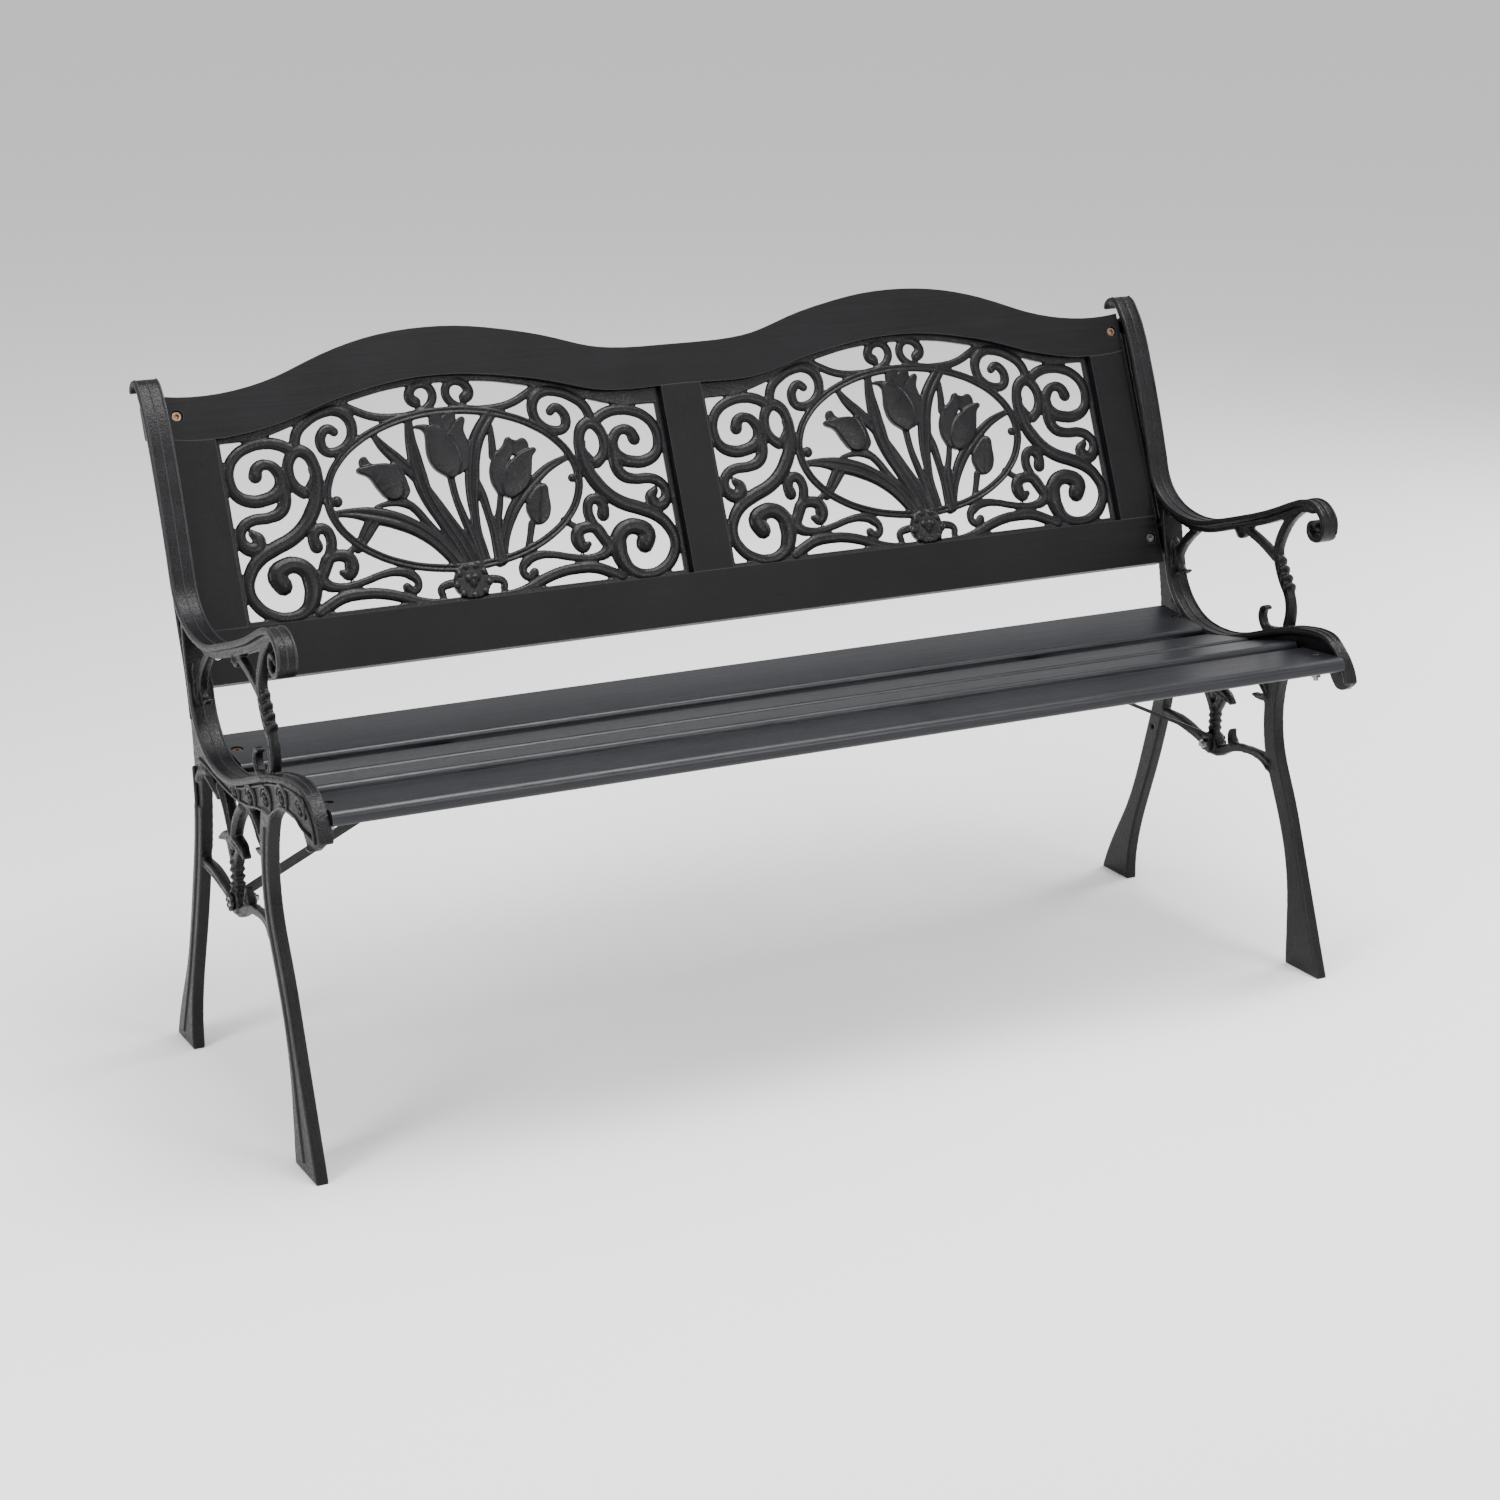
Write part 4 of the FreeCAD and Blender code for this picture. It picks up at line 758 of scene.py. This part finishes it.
KNOT_RIGHT = [(-4, 266, 5.6), (4, 277, 4.9), (12, 290, 4.2)]
FRONT_CORNER = [(50, 344, 5.4), (72, 338, 6.6), (90, 326, 7.8), (102, 310, 5.4)]
LEG_HOOK = [(99, 311, 6), (85, 306, 3.8), (72, 306, 2.2)]
REAR_LEAF = [(-74, 342, 6.4), (-58, 332, 4.8), (-49, 325, 2.4)]
REAR_CORNER = [(-104, 330, 7.2), (-92, 342, 7.2), (-70, 348, 6.4)]
TRUNK_REAR = [(-7, 286, 5), (-12, 304, 5.5), (-21, 323, 6), (-38, 342, 6.5)]
TRUNK_FRONT = [(-5, 286, 5), (1, 304, 5.5), (13, 323, 6), (34, 341, 6.5)]
HUB = (-5.0, 226.0)

ROPE_FOOT, ROPE_TOP = (129, 441), (104, 477)
THREAD_FOOT, THREAD_TOP = (-5, 236), (-5, 268)
THREAD_R = 2.2
BOSS = (31, 493, 7.0)

# %% Flange on the inner side of the post, beside the edge of the back
POST_FLANGE = [(-136, 476, 8), (-180, 579, 8), (-224, 682, 8)]
FLANGE_LIFT = -10.2       # from the middle of the web, towards the timber

# %% Ridge lines on the legs and the post, on the outer face
LEG_LINES = [
    [(-113, 340, 2.4), (-110, 300, 2.4), (-117, 250, 2.4), (-130, 200, 2.4), (-146, 150, 2.4),
     (-163, 100, 2.4), (-184, 50, 2.4), (-200, 12, 2.2)],
    [(112, 340, 2.4), (106, 300, 2.4), (111, 250, 2.4), (133, 200, 2.4), (154, 150, 2.4),
     (169, 100, 2.4), (179, 50, 2.4), (188, 12, 2.2)],
    [(-214, 690, 2.2), (-196, 640, 2.2), (-176, 590, 2.2), (-160, 545, 2.2), (-141, 490, 2.2),
     (-122, 440, 2.2), (-112, 395, 2.2)],
]

# %% Lower bead and crescents with rosettes along the seat rail
LOW_BEAD = [
    (-96, 354.6, 1.7), (-60, 351.4, 1.7), (-23, 347.4, 1.7), (17, 345.4, 1.7), (57, 348.4, 1.7),
    (97, 356.4, 1.7), (124, 357, 1.7), (140, 366, 1.7), (160, 376, 1.7), (180, 379, 1.7),
    (200, 378, 1.7), (216, 371, 1.7), (246, 366, 1.7),
]
CRESCENTS = [(20, 353, 14), (69, 361, 15.5), (117, 373, 15.5), (166, 389, 15), (213, 391, 13)]

# %% Helpers for the carving
WEB_MID = 612.0           # middle of the web from the middle of the bench
FACE = 6.0                # half of the web's thickness
STRIP_OUT = 13.0          # outer edge of the strips from the middle of the web
EDGE_OUT = 11.2           # middle of the bead along each edge of a strip
EDGE_IN = -12.2
RIDGE_OFF = 2.8           # how far the beads stand off the middle of the strip
SUNK_OFF = 1.9            # the same on the nose of the rail, past this place
NOSE_FROM = 222.0
LAST_CRESCENT = 200.0     # the crescent past this place sits lower, on the nose
NOSE_DROP = 2.0
ARM_ABOVE = 440.0         # strips above this height belong to the arm
NOSE_CUT = 11.0           # how far the rail's outer edge comes in, and where
NOSE_SPAN = (115, 235)
HAND_CUT = 6.0            # the same for the inner edge of the hand rest
HAND_SPAN = (55, 150)
FACE_CUT = 3.6            # and for the outer face of the rail
FACE_SPAN = (185, 235)
ARC_STEPS = 8
FRAME_VOXEL = 1.45


def arc(centre, radius, start, stop, half, swell=0.0):
    """Part of a circle as a stroke; it may swell in the middle."""
    result = []
    for index in range(ARC_STEPS + 1):
        done = index / ARC_STEPS
        angle = math.radians(start + (stop - start) * done)
        fat = half + swell * math.sin(math.pi * done)
        result.append((centre[0] + radius * math.cos(angle),
                       centre[1] + radius * math.sin(angle), fat))
    return result


def parallel(line, offset, half):
    """A line moved to one side; positive is to the left of its direction."""
    result = []
    for index, (a, b) in enumerate(line):
        before = line[max(index - 1, 0)]
        after = line[min(index + 1, len(line) - 1)]
        run, rise = after[0] - before[0], after[1] - before[1]
        length = math.hypot(run, rise)
        result.append((a - rise / length * offset, b + run / length * offset, half))
    return result


# %% Carving that is melted into the casting
def rope(bottom, top, radius, turns):
    """A twisted bar: fat slanted turns one over another."""
    made = []
    lean = math.atan2(top[0] - bottom[0], top[1] - bottom[1])
    for index in range(turns):
        done = (index + 0.5) / turns
        bpy.ops.object.select_all(action="DESELECT")
        bpy.ops.mesh.primitive_uv_sphere_add(segments=24, ring_count=12, radius=radius * MM)
        turn = bpy.context.object
        place = Matrix.Translation((
            (bottom[0] + (top[0] - bottom[0]) * done) * MM,
            (bottom[1] + (top[1] - bottom[1]) * done) * MM, 0))
        tilt = Matrix.Rotation(-lean + math.radians(24), 4, "Z") @ Matrix.Rotation(
            math.radians(18), 4, "X")
        turn.data.transform(place @ tilt @ Matrix.Diagonal((1, 0.43, 0.8, 1)))
        made.append(turn)
    return made


def threads(bottom, top, radius, count):
    """Level rings up the column, like a coarse thread."""
    made = []
    for index in range(count):
        height = bottom[1] + (top[1] - bottom[1]) * index / (count - 1)
        bpy.ops.object.select_all(action="DESELECT")
        bpy.ops.mesh.primitive_torus_add(
            major_radius=(radius - THREAD_R) * MM, minor_radius=THREAD_R * MM,
            major_segments=28, minor_segments=10)
        ring = bpy.context.object
        ring.data.transform(Matrix.Translation((bottom[0] * MM, height * MM, 0))
                            @ Matrix.Rotation(math.radians(12), 4, "Z")
                            @ Matrix.Diagonal((1, 1, 0.95, 1)) @ Matrix.Rotation(math.pi / 2, 4, "X"))
        made.append(ring)
    return made


def rosette(name, centre, petals, reach, size, lift, press=0.8):
    """A ring of domes round a middle one."""
    spots = [(centre[0], centre[1], size * 1.15)]
    for index in range(petals):
        angle = 2 * math.pi * index / petals
        spots.append((centre[0] + reach * math.cos(angle),
                      centre[1] + reach * math.sin(angle), size))
    return beads(name, spots, press, lift)


def carving():
    """Relief on both faces of the web, lying flat around its middle."""
    made = []
    pairs = []
    for stroke in (ARM_SUPPORT, ARM_STRUT, POST_CURL, REAR_STRETCHER, FRONT_STRETCHER):
        pairs += ridges(stroke, 0.60)
    made.append(bands("paired_ridges", pairs, 1.75))
    singles = [SUPPORT_FOOT, SUPPORT_HOOK, CURL_TIE, SPIKE_LEAF, LEG_HOOK, REAR_LEAF, REAR_CORNER]
    made.append(bands("single_ridges", singles, 1.45))
    leaves = ridges(KNOT_LEAF, 0.62) + ridges(KNOT_LEFT, 0.6) + ridges(KNOT_RIGHT, 0.6)
    leaves += ridges(FRONT_CORNER, 0.6)
    made.append(bands("leaf_ridges", leaves, 1.9))
    made.append(bands("trunk", [TRUNK_REAR, TRUNK_FRONT], 1.35))
    made += rope(ROPE_FOOT, ROPE_TOP, 9.4, 4)
    made += threads(THREAD_FOOT, THREAD_TOP, 9.0, 5)
    made.append(beads("boss", [BOSS], 1.1))
    made.append(bands("post_flange", [POST_FLANGE], 0.5, lift=FLANGE_LIFT))
    return made


def outer_carving():
    """Crisp relief on the outer face: legs, hub, rail beads and crescents."""
    made = [bands("leg_lines", LEG_LINES, 0.9, lift=FACE + 1.6)]
    made.append(rosette("hub_rosette", HUB, 8, 7.5, 3.1, FACE + 3.4))
    high_bead = parallel([p for p in RAIL_STRIP if p[1] < 400 or p[0] > 0], -6.0, 1.7)
    made.append(bands("rail_beads", [high_bead], 1.0, lift=rail_face))
    made.append(bands("low_bead", [LOW_BEAD], 1.0, lift=rail_face))
    for index, (a, b, radius) in enumerate(CRESCENTS):
        name = "crescent_%d" % index
        face = FACE - (NOSE_DROP if a > LAST_CRESCENT else 0)
        sweep = [arc((a, b - 3), radius, -20, 175, 1.4, 1.1),
                 arc((a, b - 3), radius - 4.6, 10, 160, 1.0, 0.7)]
        made.append(bands(name, sweep, 1.1, lift=face + 0.3))
        made.append(rosette(name + "_rosette", (a - 1, b - 2), 5, 4.6, 2.7, face + 0.2, 1.0))
    return made


def scroll_relief():
    """The spiral seen on the sides of the rolled hand rest."""
    coil = [(a, b, 2.2) for a, b in ARM_STRIP if a > 140]
    made = [bands("coil", [coil], 0.9, lift=level) for level in (STRIP_OUT - 2.2, -6.2)]
    made.append(bands("coil_core", [[(170, 531, 3), (172, 526, 5), (176, 524, 4)]], 1.9, lift=2.5))
    return made


def share(value, span):
    """How far a value is along a span, kept between zero and one."""
    low, high = span
    return min(max((value - low) / (high - low), 0.0), 1.0)


def rail_face(a, b):
    """Outer face of the seat rail at (a, b); the nose is cut back a little."""
    return FACE + 0.4 - FACE_CUT * share(a, FACE_SPAN)


def outer_edge(a, b):
    """Outer edge of the strip; it comes in on the nose of the rail."""
    return EDGE_OUT - (NOSE_CUT * share(a, NOSE_SPAN) if b < ARM_ABOVE else 0)


def inner_edge(a, b):
    """Inner edge of the strip; it comes in on the hand rest."""
    return EDGE_IN + (HAND_CUT * share(a, HAND_SPAN) if b > ARM_ABOVE else 0)


def middle_line(a, b):
    """Half way between the two edges."""
    return (outer_edge(a, b) + inner_edge(a, b)) / 2


def edge_line(line, half):
    """A bead along a strip, which sinks in where the rail ends in its nose."""
    proud = parallel(line, RIDGE_OFF, half)
    sunk = parallel(line, SUNK_OFF, half * 0.6)
    return [low if low[0] > NOSE_FROM else high for high, low in zip(proud, sunk)]


def strip_grooves():
    """A bead along both edges of the arm and the rail, and a fine middle ridge."""
    arm = ARM_STRIP[2:26]
    rail = RAIL_STRIP[2:]
    made = []
    for level, half in ((outer_edge, 1.5), (inner_edge, 1.5), (middle_line, 1.0)):
        lines = [edge_line(line, half) for line in (arm, rail)]
        made.append(bands("edge_bead", lines, 1.0, lift=level, sides=2))
    return made


def side_place(sign):
    """From the drawing of a side to its place at one end of the bench."""
    turn = Matrix(((0, 0, sign), (-1, 0, 0), (0, 1, 0))).to_4x4()
    return Matrix.Translation((sign * WEB_MID * MM, DATUM_Y * MM, 0)) @ turn


def seams_merged(piece, turned=False):
    """Doubled points merged and, after a mirror, the faces turned outwards."""
    activate(piece)
    bpy.ops.object.mode_set(mode="EDIT")
    bpy.ops.mesh.select_all(action="SELECT")
    bpy.ops.mesh.remove_doubles(threshold=0.00001)
    if turned:
        bpy.ops.mesh.normals_make_consistent(inside=False)
    bpy.ops.object.mode_set(mode="OBJECT")
    return piece


def copy_of(node, name):
    """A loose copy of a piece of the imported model, with its seams merged."""
    piece = bpy.data.objects.new(name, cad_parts[node].data.copy())
    bpy.context.scene.collection.objects.link(piece)
    return seams_merged(piece)


# %% Build the two ends
def placed(piece, sign):
    """A side drawing moved to its end of the bench."""
    piece.data.transform(side_place(sign))
    return seams_merged(piece, turned=True) if sign < 0 else piece


def cast_end(side_name, sign):
    """The casting of one end, and the crisp relief that lies on it."""
    plain = copy_of(side_name + "_end_frame", "plain_end")
    relief = placed(joined("relief", carving() + scroll_relief()), sign)
    whole = joined(side_name + "_end_casting", [relief, plain])
    melted(whole, FRAME_VOXEL, 2, PIECE_TRIANGLES)
    dressed(whole, frame_paint, "cast_frame", side_name + "_end_frame")
    fine = joined(side_name + "_fine_relief", outer_carving() + strip_grooves())
    activate(placed(fine, sign))
    bpy.ops.object.shade_smooth()
    dressed(fine, frame_paint, "cast_frame")
    print(whole.name, "and", fine.name, len(fine.data.polygons))


cast_end("right", 1)
cast_end("left", -1)
